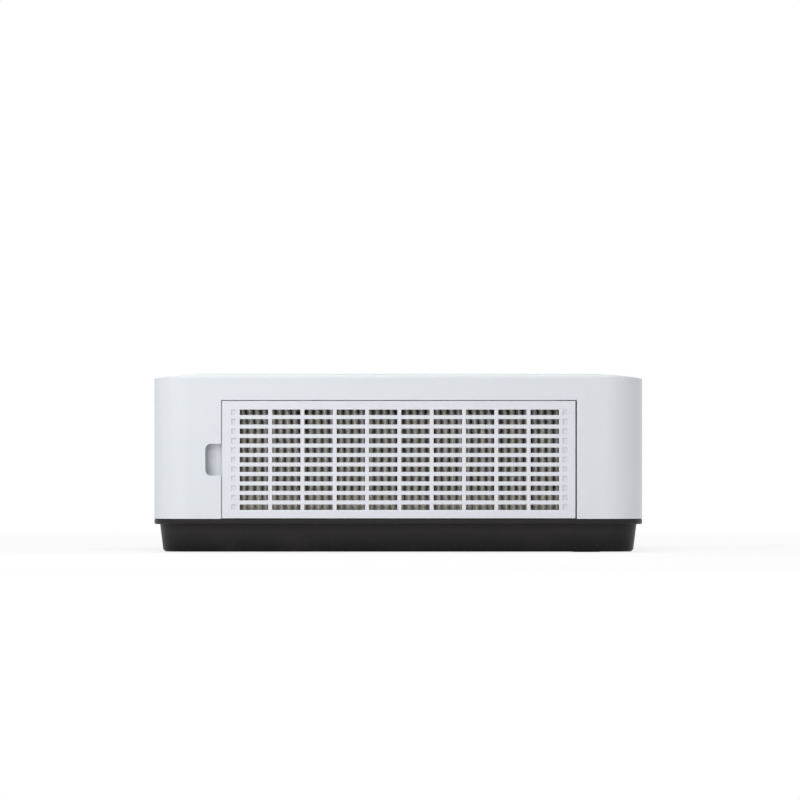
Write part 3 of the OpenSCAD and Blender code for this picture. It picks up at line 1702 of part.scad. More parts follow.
upper_case();
lower_case();
filter_cover();
filter_frame();
filter_media();
lens_bezel();
lens_shutter();
lens_barrel();
zoom_ring();
focus_ring();
front_lens();
exhaust_grille();
speaker_grille();
speaker_driver();
ir_windows();
jack_panel();
hdmi_sockets();
vga_socket();
lan_socket();
usb_socket();
av_jacks();
ac_inlet();
power_switch();
control_plate();
indicator_lenses();
power_button();
source_button();
menu_button();
up_button();
down_button();
left_button();
right_button();
enter_button();
play_button();
stop_button();
eject_button();
main_board();
power_supply();
lamp_housing();
lamp_unit();
light_engine();
prism_block();
intake_fan_frame();
intake_fan();
exhaust_fan_frame();
exhaust_fan();
drive_chassis();
disc_tray();
tray_front();
clamp_bridge();
clamper();
spindle_motor();
turntable();
pickup_sled();
loading_gear();
front_foot();
foot_button();
rear_foot_left();
rear_foot_right();
case_screws();
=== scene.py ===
"""Looks of a box projector with a built-in disc player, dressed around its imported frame.

The lens faces -Y, the jack panel +Y, the disc tray -X and the filter door +X. The camera looks
at the filter door. Every length is in metres, in the frame's own axes.
"""

import json
import logging
import math
from dataclasses import dataclass
from enum import Enum
from typing import Any, Callable, Iterable, Sequence

import bmesh
import bpy
from mathutils import Matrix, Vector, noise


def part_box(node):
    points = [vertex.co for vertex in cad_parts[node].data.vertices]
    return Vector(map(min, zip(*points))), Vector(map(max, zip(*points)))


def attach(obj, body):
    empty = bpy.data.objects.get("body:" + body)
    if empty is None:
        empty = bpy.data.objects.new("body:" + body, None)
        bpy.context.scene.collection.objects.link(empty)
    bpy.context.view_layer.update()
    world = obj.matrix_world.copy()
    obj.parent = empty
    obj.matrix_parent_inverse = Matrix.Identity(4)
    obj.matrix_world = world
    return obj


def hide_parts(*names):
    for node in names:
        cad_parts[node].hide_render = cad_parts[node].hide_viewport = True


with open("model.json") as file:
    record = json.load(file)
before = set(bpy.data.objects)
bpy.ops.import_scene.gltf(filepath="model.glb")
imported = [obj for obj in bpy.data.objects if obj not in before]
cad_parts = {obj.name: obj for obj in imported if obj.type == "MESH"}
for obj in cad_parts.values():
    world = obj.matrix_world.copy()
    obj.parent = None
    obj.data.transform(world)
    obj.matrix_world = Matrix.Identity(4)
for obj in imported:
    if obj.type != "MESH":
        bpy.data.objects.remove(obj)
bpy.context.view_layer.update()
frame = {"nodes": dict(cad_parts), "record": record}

log = logging.getLogger("projector")
MM = 0.001
# Points this close to a plane lie in it
TOUCH = 0.02 * MM
# Sockets of a Mix node that blends colours
MIX_FACTOR, MIX_FIRST, MIX_SECOND, MIX_RESULT = 0, 6, 7, 2
ROOT = "root"

Colour = tuple[float, float, float]
Point = tuple[float, float, float]
Corners = list[tuple[float, float]]
EdgeTest = Callable[[bmesh.types.BMEdge], bool]


def from_screen(red: int, green: int, blue: int) -> Colour:
    """Turns a colour given as screen values into the linear values that shaders take.

    Args:
        red: Red from 0 to 255.
        green: Green from 0 to 255.
        blue: Blue from 0 to 255.

    Returns:
        The same colour in linear values from 0 to 1.
    """
    def linear(value: int) -> float:
        """Linear value of one channel."""
        share = value / 255
        return share / 12.92 if share <= 0.04045 else ((share + 0.055) / 1.055) ** 2.4
    return linear(red), linear(green), linear(blue)


# ---- Shader building ----


class Wire:
    """A node's output that can be used in Python expressions."""

    def __init__(self, graph: "Graph", socket: bpy.types.NodeSocket) -> None:
        """Keeps the output and the graph that it belongs to."""
        self.graph = graph
        self.socket = socket

    def _math(self, operation: str, first: Any, second: Any) -> "Wire":
        """Adds one Math node on two values or wires."""
        node = self.graph.add("ShaderNodeMath", {"operation": operation}, {0: first, 1: second})
        return Wire(self.graph, node.outputs[0])

    def __add__(self, other: Any) -> "Wire":
        """Sum."""
        return self._math("ADD", self, other)

    def __sub__(self, other: Any) -> "Wire":
        """Difference."""
        return self._math("SUBTRACT", self, other)

    def __rsub__(self, other: Any) -> "Wire":
        """Difference with the wire on the right."""
        return self._math("SUBTRACT", other, self)

    def __mul__(self, other: Any) -> "Wire":
        """Product."""
        return self._math("MULTIPLY", self, other)

    __radd__ = __add__
    __rmul__ = __mul__

    def ramp(self, low: float, high: float) -> "Wire":
        """Share of the way from one value to another, kept between 0 and 1.

        Args:
            low: Value that gives 0.
            high: Value that gives 1.

        Returns:
            The share as a wire.
        """
        node = self.graph.add("ShaderNodeMapRange", {"clamp": True},
                              {"Value": self, "From Min": low, "From Max": high})
        return Wire(self.graph, node.outputs["Result"])


class Graph:
    """The node tree of one material, and the only place where its nodes are made."""

    def __init__(self, name: str) -> None:
        """Starts an empty node tree with one shader and its output."""
        self.material = bpy.data.materials.new(name)
        self.material.use_nodes = True
        self.tree = self.material.node_tree
        self.tree.nodes.clear()
        self.place = Wire(self, self.add("ShaderNodeTexCoord").outputs["Object"])

    @classmethod
    def over(cls, tree: bpy.types.NodeTree) -> "Graph":
        """A graph over an empty node tree that isn't a material's, such as the world's."""
        graph = cls.__new__(cls)
        graph.tree = tree
        return graph

    def add(self, kind: str, settings: dict[str, Any] | None = None,
            inputs: dict[Any, Any] | None = None) -> bpy.types.Node:
        """Makes one node.

        Args:
            kind: The node's type.
            settings: Properties, set before the inputs; stops gives a ramp's stops.
            inputs: Values or wires, by socket name or number.

        Returns:
            The new node.
        """
        node = self.tree.nodes.new(kind)
        for key, value in (settings or {}).items():
            if key == "stops":
                for stop, (position, colour) in zip(self._ramp_stops(node, len(value)), value):
                    stop.position = position
                    stop.color = (*colour, 1.0)
            else:
                setattr(node, key, value)
        for key, value in (inputs or {}).items():
            if isinstance(value, Wire):
                self.tree.links.new(value.socket, node.inputs[key])
            else:
                node.inputs[key].default_value = value
        return node

    @staticmethod
    def _ramp_stops(node: bpy.types.Node, count: int) -> list[Any]:
        """Gives a ramp its stops.

        Args:
            node: The ramp.
            count: How many it needs.

        Returns:
            All its stops.
        """
        elements = node.color_ramp.elements
        while len(elements) < count:
            elements.new(1.0)
        return list(elements)

    def stretched(self, scale: Point) -> Wire:
        """Object coordinates with their own scale along each axis."""
        node = self.add("ShaderNodeMapping", {"vector_type": "POINT"},
                        {"Vector": self.place, "Scale": scale})
        return Wire(self, node.outputs["Vector"])

    def noise(self, scale: float, detail: float = 2.0, where: Wire | None = None) -> Wire:
        """Smooth noise between 0 and 1.

        Args:
            scale: Cells per metre.
            detail: Octaves of finer noise on top.
            where: Coordinates, or the object's own when left out.

        Returns:
            The noise value as a wire.
        """
        node = self.add("ShaderNodeTexNoise", {"noise_dimensions": "3D"},
                        {"Vector": where or self.place, "Scale": scale, "Detail": detail, "Roughness": 0.55})
        return Wire(self, node.outputs["Fac"])

    def cells(self, scale: float, where: Wire | None = None) -> Wire:
        """Distance to the nearest cell centre, for grain and pits."""
        node = self.add("ShaderNodeTexVoronoi", {"feature": "F1"},
                        {"Vector": where or self.place, "Scale": scale})
        return Wire(self, node.outputs["Distance"])

    def axis(self, name: str) -> Wire:
        """One coordinate of the place on the object, in metres."""
        node = self.add("ShaderNodeSeparateXYZ", None, {"Vector": self.place})
        return Wire(self, node.outputs[name])

    def within(self, low: Point, high: Point, fade: float) -> Wire:
        """1 inside a box and 0 outside it.

        Args:
            low: Lowest corner of the box.
            high: Highest corner of the box.
            fade: Width over which it falls off, inside the box.

        Returns:
            The mask as a wire.
        """
        mask: Any = 1.0
        for name, start, end in zip("XYZ", low, high):
            place = self.axis(name)
            mask = place.ramp(start, start + fade) * (end - place).ramp(0.0, fade) * mask
        return mask

    def overlay(self, factor: Wire, first: Any, second: Colour) -> Wire:
        """Blends a wire, or a colour with its alpha, towards a fixed colour by a factor."""
        node = self.add("ShaderNodeMix", {"data_type": "RGBA"},
                        {MIX_FACTOR: factor, MIX_FIRST: first, MIX_SECOND: (*second, 1.0)})
        return Wire(self, node.outputs[MIX_RESULT])

    def tint(self, factor: Wire, first: Colour, second: Colour) -> Wire:
        """Blends from one fixed colour to another by a factor."""
        return self.overlay(factor, (*first, 1.0), second)

    def bump(self, height: Wire, strength: float, depth: float) -> Wire:
        """Turns a height into a surface normal.

        Args:
            height: Height between 0 and 1.
            strength: Share of the effect, from 0 to 1.
            depth: Height of the relief in metres.

        Returns:
            The normal as a wire.
        """
        node = self.add("ShaderNodeBump", None, {"Strength": strength, "Distance": depth, "Height": height})
        return Wire(self, node.outputs["Normal"])

    def surface(self, **inputs: Any) -> bpy.types.Material:
        """Closes the tree with one shader.

        Args:
            inputs: The shader's inputs, with underscores for the spaces in their names.

        Returns:
            The finished material.
        """
        named = {key.replace("_", " "): value for key, value in inputs.items()}
        shader = self.add("ShaderNodeBsdfPrincipled", None, named)
        output = self.add("ShaderNodeOutputMaterial")
        self.tree.links.new(shader.outputs["BSDF"], output.inputs["Surface"])
        return self.material


def scaled(colour: Colour, factor: float) -> Colour:
    """A lighter or darker shade of a colour, kept under white."""
    return tuple(min(channel * factor, 0.95) for channel in colour)


# ---- Finishes ----


@dataclass(frozen=True)
class MouldedPlastic:
    """Moulded plastic with a fine eroded grain, slow changes of tone and patches of another gloss."""

    name: str
    colour: Colour
    roughness: float = 0.42
    tone: float = 0.02
    tone_scale: float = 9.0
    grain_size: float = 0.5 * MM
    grain_depth: float = 0.012 * MM
    grain_strength: float = 0.5
    rub: float = 0.12
    rub_scale: float = 38.0
    coat: float = 0.0
    gloss: float = 0.5

    def paint(self, graph: Graph) -> Wire:
        """Colour with slow changes of tone."""
        broad = graph.noise(self.tone_scale, 3.0)
        return graph.tint(broad, scaled(self.colour, 1 - self.tone), scaled(self.colour, 1 + self.tone))

    def build(self) -> bpy.types.Material:
        """Makes the material."""
        graph = Graph(self.name)
        return graph.surface(
            Base_Color=self.paint(graph),
            Roughness=(graph.noise(self.rub_scale) - 0.5) * self.rub + self.roughness,
            Normal=graph.bump(graph.noise(1 / self.grain_size), self.grain_strength, self.grain_depth),
            Specular_IOR_Level=self.gloss,
            Coat_Weight=self.coat,
            Coat_Roughness=0.12,
        )


@dataclass(frozen=True, kw_only=True)
class ShadedPlastic(MouldedPlastic):
    """Moulded plastic painted greyer inside one hollow, most at its -Y end.

    The grey stands in for the shadow that the photograph shows there. It isn't dirt.
    """

    shade: Colour
    low: Point
    high: Point
    full: float = 2 * MM
    fade: float = 0.4 * MM
    patch_scale: float = 160.0
    patch_depth: float = 0.3

    def paint(self, graph: Graph) -> Wire:
        """Makes the colour, greyer in the hollow.

        Args:
            graph: The material's nodes.

        Returns:
            The colour as a wire.
        """
        inside = graph.within(self.low, self.high, self.fade)
        depth = (self.high[1] - graph.axis("Y")).ramp(0.0, self.high[1] - self.low[1] - self.full)
        patchy = graph.noise(self.patch_scale).ramp(0.2, 0.6) * self.patch_depth + (1 - self.patch_depth)
        return graph.overlay(inside * depth * patchy, super().paint(graph), self.shade)


@dataclass(frozen=True)
class SmudgedPlasticShadedToFoot:
    """Black moulded plastic with faint brown smudges, and painted shade that darkens it towards its foot."""

    name: str
    foot: Colour
    top: Colour
    smudge: Colour
    foot_z: float
    top_z: float
    roughness: float = 0.42
    gloss: float = 0.14
    smudge_scale: float = 42.0
    smudge_share: float = 0.4

    def build(self) -> bpy.types.Material:
        """Makes the material."""
        graph = Graph(self.name)
        # Painted shade: the colour darkens from the top towards the foot; the smudges are real stains.
        rise = graph.axis("Z").ramp(self.foot_z, self.top_z)
        smudges = graph.noise(self.smudge_scale, 4.0).ramp(0.45, 0.75)
        foot_shade_tone = graph.tint(rise, self.foot, self.top)
        colour = graph.overlay(smudges * self.smudge_share, foot_shade_tone, self.smudge)
        grain = graph.noise(1500.0, 2.0)
        return graph.surface(
            Base_Color=colour,
            Roughness=(smudges - 0.5) * 0.1 + self.roughness,
            Normal=graph.bump(grain, 0.6, 0.04 * MM),
            Specular_IOR_Level=self.gloss,
        )


@dataclass(frozen=True)
class SoftRubber:
    """Matte rubber with a powdery bloom and a pebbled surface."""

    name: str
    colour: Colour
    roughness: float = 0.78

    def build(self) -> bpy.types.Material:
        """Makes the material."""
        graph = Graph(self.name)
        bloom = graph.noise(45.0, 3.0)
        pebbles = graph.cells(1800.0)
        return graph.surface(
            Base_Color=graph.tint(bloom, scaled(self.colour, 0.8), scaled(self.colour, 1.5)),
            Roughness=(bloom - 0.5) * 0.2 + self.roughness,
            Normal=graph.bump(pebbles, 0.5, 0.04 * MM),
        )


class Brushing(Enum):
    """Direction in which a metal's brush lines run."""

    ALONG_X = (20.0, 2200.0, 2200.0)
    NONE = (300.0, 300.0, 300.0)


@dataclass(frozen=True)
class SheetMetal:
    """Plated, rolled or machined metal with fine lines and faint stains."""

    name: str
    colour: Colour
    roughness: float = 0.3
    brushing: Brushing = Brushing.ALONG_X

    def build(self) -> bpy.types.Material:
        """Makes the material."""
        graph = Graph(self.name)
        lines = graph.noise(1.0, 2.0, graph.stretched(self.brushing.value))
        stains = graph.noise(30.0, 3.0)
        return graph.surface(
            Base_Color=graph.tint(stains, scaled(self.colour, 0.86), scaled(self.colour, 1.05)),
            Metallic=1.0,
            Roughness=(lines - 0.5) * 0.16 + (stains - 0.5) * 0.1 + self.roughness,
            Normal=graph.bump(lines, 0.35, 0.01 * MM),
        )


@dataclass(frozen=True)
class OpticalGlass:
    """Clear glass with a coloured coating and a trace of dust."""

    name: str
    colour: Colour
    coat_tint: Colour
    roughness: float = 0.02

    def build(self) -> bpy.types.Material:
        """Makes the material."""
        graph = Graph(self.name)
        dust = graph.noise(700.0, 2.0).ramp(0.6, 0.8)
        return graph.surface(
            Base_Color=graph.tint(graph.noise(20.0), scaled(self.colour, 0.97), self.colour),
            Roughness=dust * 0.05 + self.roughness,
            Transmission_Weight=1.0,
            IOR=1.52,
            Coat_Weight=1.0,
            Coat_Roughness=0.03,
            Coat_Tint=(*self.coat_tint, 1.0),
        )


@dataclass(frozen=True)
class Patches:
    """Soft patches of a tint: cells per metre, their stretch, and the noise level where they begin."""

    colour: Colour
    scale: float
    stretch: Point
    start: float


@dataclass(frozen=True)
class PleatedSheet:
    """Non-woven sheet: fibrous, with painted shade greying it towards the valleys, pale at its foot, and
    tinted patches.
    """

    name: str
    crest: Colour
    valley: Colour
    crest_x: float
    depth: float
    pale_z: float
    pale_fade: float = 8 * MM
    pale_share: float = 0.95
    pale: Colour = from_screen(252, 250, 242)
    shade_start: float = 1.2 * MM
    shade_end: float = 0.85
    patch_rise: float = 0.3
    patch_share: float = 0.4
    patches: tuple[Patches, ...] = (
        Patches(from_screen(196, 202, 168), 75.0, (1.0, 1.0, 1.0), 0.45),
        Patches(from_screen(216, 190, 194), 62.0, (1.0, 1.3, 1.6), 0.5),
        Patches(from_screen(184, 200, 212), 51.0, (1.2, 1.0, 1.4), 0.5),
    )

    def build(self) -> bpy.types.Material:
        """Makes the material."""
        graph = Graph(self.name)
        # Painted shade: the colour greys from the crests towards the valleys.
        valley_shade = (self.crest_x - graph.axis("X")).ramp(self.shade_start, self.shade_end * self.depth)
        colour = graph.tint(valley_shade, self.crest, self.valley)
        for patch in self.patches:
            cloud = graph.noise(patch.scale, 3.0, graph.stretched(patch.stretch))
            share = cloud.ramp(patch.start, patch.start + self.patch_rise) * self.patch_share
            colour = graph.overlay(share, colour, patch.colour)
        foot = (self.pale_z - graph.axis("Z")).ramp(0.0, self.pale_fade)
        fibres = graph.noise(1.0, 3.0, graph.stretched((900.0, 900.0, 2600.0)))
        return graph.surface(
            Base_Color=graph.overlay(foot * self.pale_share, colour, self.pale),
            Roughness=(fibres - 0.5) * 0.1 + 0.88,
            Normal=graph.bump(fibres, 0.7, 0.12 * MM),
        )


@dataclass(frozen=True)
class CircuitBoard:
    """Board and its parts: green mask with copper tracks up to its face, dark parts above it."""

    name: str
    face_z: float

    def build(self) -> bpy.types.Material:
        """Makes the material."""
        graph = Graph(self.name)
        tracks = graph.cells(420.0).ramp(0.42, 0.46)
        mask = graph.tint(tracks, from_screen(20, 92, 48), from_screen(48, 128, 70))
        above = (graph.axis("Z") - self.face_z).ramp(0.1 * MM, 0.2 * MM)
        colour = graph.overlay(above, mask, from_screen(46, 46, 50))
        return graph.surface(
            Base_Color=colour,
            Roughness=above * 0.15 + 0.35,
            Normal=graph.bump(tracks, 0.4, 0.03 * MM),
        )


@dataclass(frozen=True)
class LitLens:
    """Small tinted lens with a faint glow behind it."""

    name: str
    colour: Colour
    glow: float = 0.3

    def build(self) -> bpy.types.Material:
        """Makes the material."""
        graph = Graph(self.name)
        body = graph.tint(graph.noise(900.0), scaled(self.colour, 0.8), self.colour)
        return graph.surface(
            Base_Color=body,
            Roughness=0.15,
            Coat_Weight=0.6,
            Emission_Color=body,
            Emission_Strength=self.glow,
        )


class FinishRack:
    """The finishes that need no box of the frame, each made once."""

    notch_low: Point = (178 * MM, -133.2 * MM, 52.8 * MM)
    notch_high: Point = (184.8 * MM, -124.2 * MM, 75.4 * MM)

    def __init__(self) -> None:
        """Makes the finishes."""
        white = from_screen(224, 228, 233)
        self.case_white = MouldedPlastic("case_white", white, 0.46).build()
        self.case_shaded = ShadedPlastic("case_shaded", white, 0.46, shade=from_screen(164, 168, 172),
                                         low=self.notch_low, high=self.notch_high).build()
        self.cover_white = MouldedPlastic("cover_white", from_screen(226, 228, 234), 0.46).build()
        # Black base with painted shade, darkest at its foot, and brown smudges.
        self.case_black = SmudgedPlasticShadedToFoot("case_black", from_screen(14, 14, 14), from_screen(41, 39, 40),
                                         from_screen(52, 46, 44), 1.5 * MM, 14 * MM).build()
        self.dark_plastic = MouldedPlastic("dark_plastic", from_screen(52, 52, 54), 0.5, 0.05).build()
        self.grille_grey = MouldedPlastic("grille_grey", from_screen(74, 75, 78), 0.5, 0.05).build()
        self.gloss_black = MouldedPlastic("gloss_black", from_screen(20, 20, 22), 0.22, 0.1, coat=0.5,
                                          grain_strength=0.05).build()
        self.key_grey = MouldedPlastic("key_grey", from_screen(206, 208, 214), 0.38, 0.02).build()
        self.mark_dark = MouldedPlastic("mark_dark", from_screen(70, 72, 78), 0.5, 0.05).build()
        self.mark_pale = MouldedPlastic("mark_pale", from_screen(214, 216, 220), 0.5, 0.02).build()
        self.acetal = MouldedPlastic("acetal", from_screen(222, 216, 196), 0.35, 0.03).build()
        self.ir_red = MouldedPlastic("ir_red", from_screen(50, 6, 12), 0.1, 0.1, coat=0.2,
                                     grain_strength=0.02, gloss=0.3).build()
        self.rubber = SoftRubber("rubber", from_screen(40, 40, 42)).build()
        self.nickel = SheetMetal("nickel", from_screen(200, 200, 202), 0.24).build()
        self.zinc = SheetMetal("zinc", from_screen(168, 170, 176), 0.36, Brushing.NONE).build()
        self.gold = SheetMetal("gold", from_screen(212, 172, 92), 0.25, Brushing.NONE).build()
        self.black_metal = SheetMetal("black_metal", from_screen(46, 46, 48), 0.42, Brushing.NONE).build()
        self.lens_glass = OpticalGlass("lens_glass", (0.97, 0.98, 1.0), (0.84, 0.78, 0.98)).build()
        self.prism_glass = OpticalGlass("prism_glass", (0.9, 0.97, 0.96), (0.8, 1.0, 0.9)).build()
        self.socket_blue = MouldedPlastic("socket_blue", from_screen(36, 66, 150), 0.4, 0.05).build()
        self.jack_yellow = MouldedPlastic("jack_yellow", from_screen(214, 176, 40), 0.4, 0.04).build()
        self.jack_white = MouldedPlastic("jack_white", from_screen(220, 220, 216), 0.4, 0.03).build()
        self.jack_red = MouldedPlastic("jack_red", from_screen(176, 38, 36), 0.4, 0.05).build()
        self.indicator = LitLens("indicator", from_screen(96, 190, 110)).build()


# ---- Mesh building ----


class Shape:
    """A mesh under construction, made with bmesh operators in place."""

    def __init__(self) -> None:
        """Starts an empty mesh."""
        self.bm = bmesh.new()

    def block(self, low: Sequence[float], high: Sequence[float]) -> "Shape":
        """Adds a box.

        Args:
            low: Its lowest corner.
            high: Its highest corner.

        Returns:
            The shape.
        """
        place = Matrix.Translation((Vector(low) + Vector(high)) / 2)
        size = Matrix.Diagonal((*(Vector(high) - Vector(low)), 1.0))
        bmesh.ops.create_cube(self.bm, size=1.0, matrix=place @ size)
        return self

    def lathe(self, profile: Sequence[tuple[float, float]], centre: Sequence[float],
              axis: Sequence[float], steps: int = 96) -> "Shape":
        """Spins a closed or axis-to-axis profile fully round an axis.

        Args:
            profile: Points as distance from the axis and height along it.
            centre: Point on the axis at height 0.
            axis: Direction of the axis.
            steps: Segments round the axis.

        Returns:
            The shape.
        """
        axis = Vector(axis).normalized()
        side = axis.orthogonal().normalized()
        centre = Vector(centre)
        verts = [self.bm.verts.new(centre + side * r + axis * h) for r, h in profile]
        edges = [self.bm.edges.new(pair) for pair in zip(verts, verts[1:])]
        if profile[0][0] > 0:
            edges.append(self.bm.edges.new((verts[-1], verts[0])))
        bmesh.ops.spin(self.bm, geom=verts + edges, cent=centre, axis=axis, angle=math.tau, steps=steps,
                       use_merge=True, use_duplicate=False)
        bmesh.ops.remove_doubles(self.bm, verts=self.bm.verts, dist=1e-7)
        return self

    def ring(self, radii: tuple[float, float], heights: tuple[float, float], centre: Sequence[float],
             axis: Sequence[float], steps: int = 48) -> "Shape":
        """Adds a ring with a square section.

        Args:
            radii: Inner and outer radius.
            heights: Both ends, as heights along the axis.
            centre: Point on the axis at height 0.
            axis: Direction of the axis.
            steps: Segments round the axis.

        Returns:
            The shape.
        """
        (inner, outer), (near, far) = radii, heights
        return self.lathe([(inner, near), (outer, near), (outer, far), (inner, far)], centre, axis, steps)

    def _extrude(self, faces: Sequence[bmesh.types.BMFace], along: Sequence[float]) -> "Shape":
        """Extrudes flat faces.

        Args:
            faces: The faces.
            along: Vector of the extrusion.

        Returns:
            The shape.
        """
        grown = bmesh.ops.extrude_face_region(self.bm, geom=faces)
        moved = [item for item in grown["geom"] if isinstance(item, bmesh.types.BMVert)]
        bmesh.ops.translate(self.bm, verts=moved, vec=Vector(along))
        return self

    def outline(self, points: Iterable[Sequence[float]], along: Sequence[float]) -> "Shape":
        """Adds a flat outline and extrudes it.

        Args:
            points: Corners of the outline, in order.
            along: Vector of the extrusion.

        Returns:
            The shape.
        """
        return self._extrude([self.bm.faces.new([self.bm.verts.new(p) for p in points])], along)

    def rim(self, points: Iterable[Sequence[float]], width: float, along: Sequence[float]) -> "Shape":
        """Adds a flat ring just inside an outline and extrudes it.

        Args:
            points: Corners of the outer outline, in order.
            width: Width of the ring.
            along: Vector of the extrusion.

        Returns:
            The shape.
        """
        inner = self.bm.faces.new([self.bm.verts.new(p) for p in points])
        inner.normal_update()
        ring = bmesh.ops.inset_region(self.bm, faces=[inner], thickness=width, use_even_offset=True)["faces"]
        bmesh.ops.delete(self.bm, geom=[inner], context="FACES")
        return self._extrude(ring, along)

    def node_copy(self, node: str) -> "Shape":
        """Adds a merged copy of a node's mesh, with its flat faces joined.

        Args:
            node: Name of the node.

        Returns:
            The shape.
        """
        self.bm.from_mesh(frame["nodes"][node].data)
        bmesh.ops.remove_doubles(self.bm, verts=self.bm.verts, dist=0.002 * MM)
        bmesh.ops.dissolve_limit(self.bm, angle_limit=math.radians(0.4), verts=self.bm.verts,
                                 edges=self.bm.edges, use_dissolve_boundaries=False)
        return self

    def soften(self, width: float, segments: int = 2, angle: float = 40.0,
               chosen: EdgeTest | None = None) -> "Shape":
        """Rounds the sharp edges.

        Args:
            width: Width of the rounding.
            segments: Facets across the rounding.
            angle: Edges with a larger turn than this count as sharp, in degrees.
            chosen: Further test on the edges, or none.

        Returns:
            The shape.
        """
        self.bm.normal_update()
        sharp = [e for e in self.bm.edges if len(e.link_faces) == 2
                 and e.calc_face_angle(0.0) > math.radians(angle) and (chosen is None or chosen(e))]
        bmesh.ops.bevel(self.bm, geom=sharp, offset=width, offset_type="OFFSET", affect="EDGES",
                        segments=segments, profile=0.5, material=-1, clamp_overlap=True)
        return self

    def face_out(self) -> "Shape":
        """Turns every face outwards."""
        bmesh.ops.recalc_face_normals(self.bm, faces=self.bm.faces)
        return self

    def finish(self, name: str, material: bpy.types.Material, body: str, slot: str,
               replaces: Sequence[str] = (), smooth: float = 35.0,
               weighted: bool = True) -> bpy.types.Object:
        """Makes the piece.

        Args:
            name: Name of the piece.
            material: Its finish.
            body: Body that it moves with.
            slot: Material slot of the record. Not used.
            replaces: Nodes that it stands for.
            smooth: Edges with a smaller turn than this shade smoothly, in degrees.
            weighted: Whether large faces keep flat shading beside their roundings.

        Returns:
            The piece's object.
        """
        self.bm.normal_update()
        for face in self.bm.faces:
            face.smooth = True
        for edge in self.bm.edges:
            edge.smooth = edge.calc_face_angle(0.0) < math.radians(smooth)
        mesh = bpy.data.meshes.new(name)
        self.bm.to_mesh(mesh)
        self.bm.free()
        if "custom_normal" in mesh.attributes:
            mesh.attributes.remove(mesh.attributes["custom_normal"])
        mesh.materials.clear()
        mesh.materials.append(material)
        piece = bpy.data.objects.new(name, mesh)
        bpy.context.scene.collection.objects.link(piece)
        if weighted:
            modifier = piece.modifiers.new("weighted", "WEIGHTED_NORMAL")
            modifier.keep_sharp = True
        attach(piece, body)
        if replaces:
            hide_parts(*replaces)
        log.info("piece %s on %s, %d faces", name, body, len(mesh.polygons))
        return piece


def bar(left: float, right: float, low: float, high: float) -> Corners:
    """Corners of an upright rectangle, in order."""
    return [(left, low), (right, low), (right, high), (left, high)]


def rounded_corners(width: float, height: float, radius: float, steps: int = 6) -> Corners:
    """Outline of a rounded rectangle round the origin.

    Args:
        width: Full width.
        height: Full height.
        radius: Radius of the corners.
        steps: Segments in each corner.

    Returns:
        Its points, in order.
    """
    points = []
    for quarter, (side, up) in enumerate(((1, 1), (-1, 1), (-1, -1), (1, -1))):
        for step in range(steps + 1):
            angle = math.pi / 2 * (quarter + step / steps)
            points.append((side * (width / 2 - radius) + radius * math.cos(angle),
                           up * (height / 2 - radius) + radius * math.sin(angle)))
    return points


def dress(node: str, material: bpy.types.Material) -> None:
    """Gives a node its finish.

    Args:
        node: Name of the node.
        material: Its finish.
    """
    mesh = frame["nodes"][node].data
    mesh.materials.clear()
    mesh.materials.append(material)
    log.info("node %s dressed in %s", node, material.name)


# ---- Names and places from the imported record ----


class Register:
    """Looks up the body and the material slot of each node."""

    def __init__(self) -> None:
        """Reads both tables once."""
        record = frame["record"]
        self.bodies = {node: body for body, nodes in record["behaviour"]["bodies"].items() for node in nodes}
        self.slots = {part["node"]: part["material_slot"] for part in record["subparts"]}


def on_plane(axis: int, value: float) -> EdgeTest:
    """Makes a test for edges that lie in a plane.

    Args:
        axis: Number of the axis that the plane is square to.
        value: Place of the plane along it.

    Returns:
        The test.
    """
    return lambda edge: all(abs(vert.co[axis] - value) < TOUCH for vert in edge.verts)


@dataclass
class Assembly:
    """What every sub-assembly needs: the finishes and the record's names."""

    rack: FinishRack
    names: Register

    def rounded(self, node: str, finish: bpy.types.Material, width: float, chosen: EdgeTest | None = None,
                smooth: float = 35.0, segments: int = 2) -> bpy.types.Object:
        """Replaces a node with a copy whose edges are rounded.

        Args:
            node: Name of the node.
            finish: Its finish.
            width: Width of the rounding.
            chosen: Test on the edges, or none.
            smooth: Edges with a smaller turn than this shade smoothly, in degrees.
            segments: Facets across the rounding.

        Returns:
            The piece.
        """
        shape = Shape().node_copy(node).soften(width, segments, chosen=chosen)
        return shape.finish(f"{node}_moulding", finish, self.names.bodies[node], self.names.slots[node],
                            [node], smooth)

    def add(self, shape: "Shape", name: str, finish: bpy.types.Material, like: str,
            smooth: float = 35.0) -> bpy.types.Object:
        """Makes a new piece that moves with a node.

        Args:
            shape: Its mesh.
            name: Its name.
            finish: Its finish.
            like: The node that it moves with.
            smooth: Edges with a smaller turn than this shade smoothly, in degrees.

        Returns:
            The piece.
        """
        return shape.finish(name, finish, self.names.bodies[like], self.names.slots[like], smooth=smooth)

    def plain(self, **finishes: bpy.types.Material) -> None:
        """Dresses nodes that need nothing else, each by its name."""
        for node, finish in finishes.items():
            dress(node, finish)


# ---- Sub-assemblies ----


@dataclass
class Case(Assembly):
    """Both halves of the case and the screws that hold them."""

    edge: float = 0.35 * MM
    roof_low: float = 118 * MM

    def build(self) -> None:
        """Makes the pieces."""
        self.upper()
        self.lower()
        dress("case_screws", self.rack.zinc)

    def upper(self) -> None:
        """Upper case with the rim of every opening rounded."""
        low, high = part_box("upper_case")

        def on_skin(face: bmesh.types.BMFace) -> bool:
            """Tells whether a face is part of the outside.

            Args:
                face: The face.

            Returns:
                True on a wall or on the roof.
            """
            centre = face.calc_center_median()
            on_wall = any(abs(face.normal[axis]) > 0.99
                          and min(abs(centre[axis] - low[axis]), abs(centre[axis] - high[axis])) < TOUCH
                          for axis in (0, 1))
            return on_wall or (face.normal.z > 0.97 and centre.z > self.roof_low)

        self.rounded("upper_case", self.rack.case_shaded, self.edge,
                     lambda edge: sum(on_skin(face) for face in edge.link_faces) == 1)

    def lower(self) -> None:
        """Lower case, with the chamfers of its lip shaded round."""
        low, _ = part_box("lower_case")
        self.rounded("lower_case", self.rack.case_black, self.edge, on_plane(2, low.z), smooth=50.0)


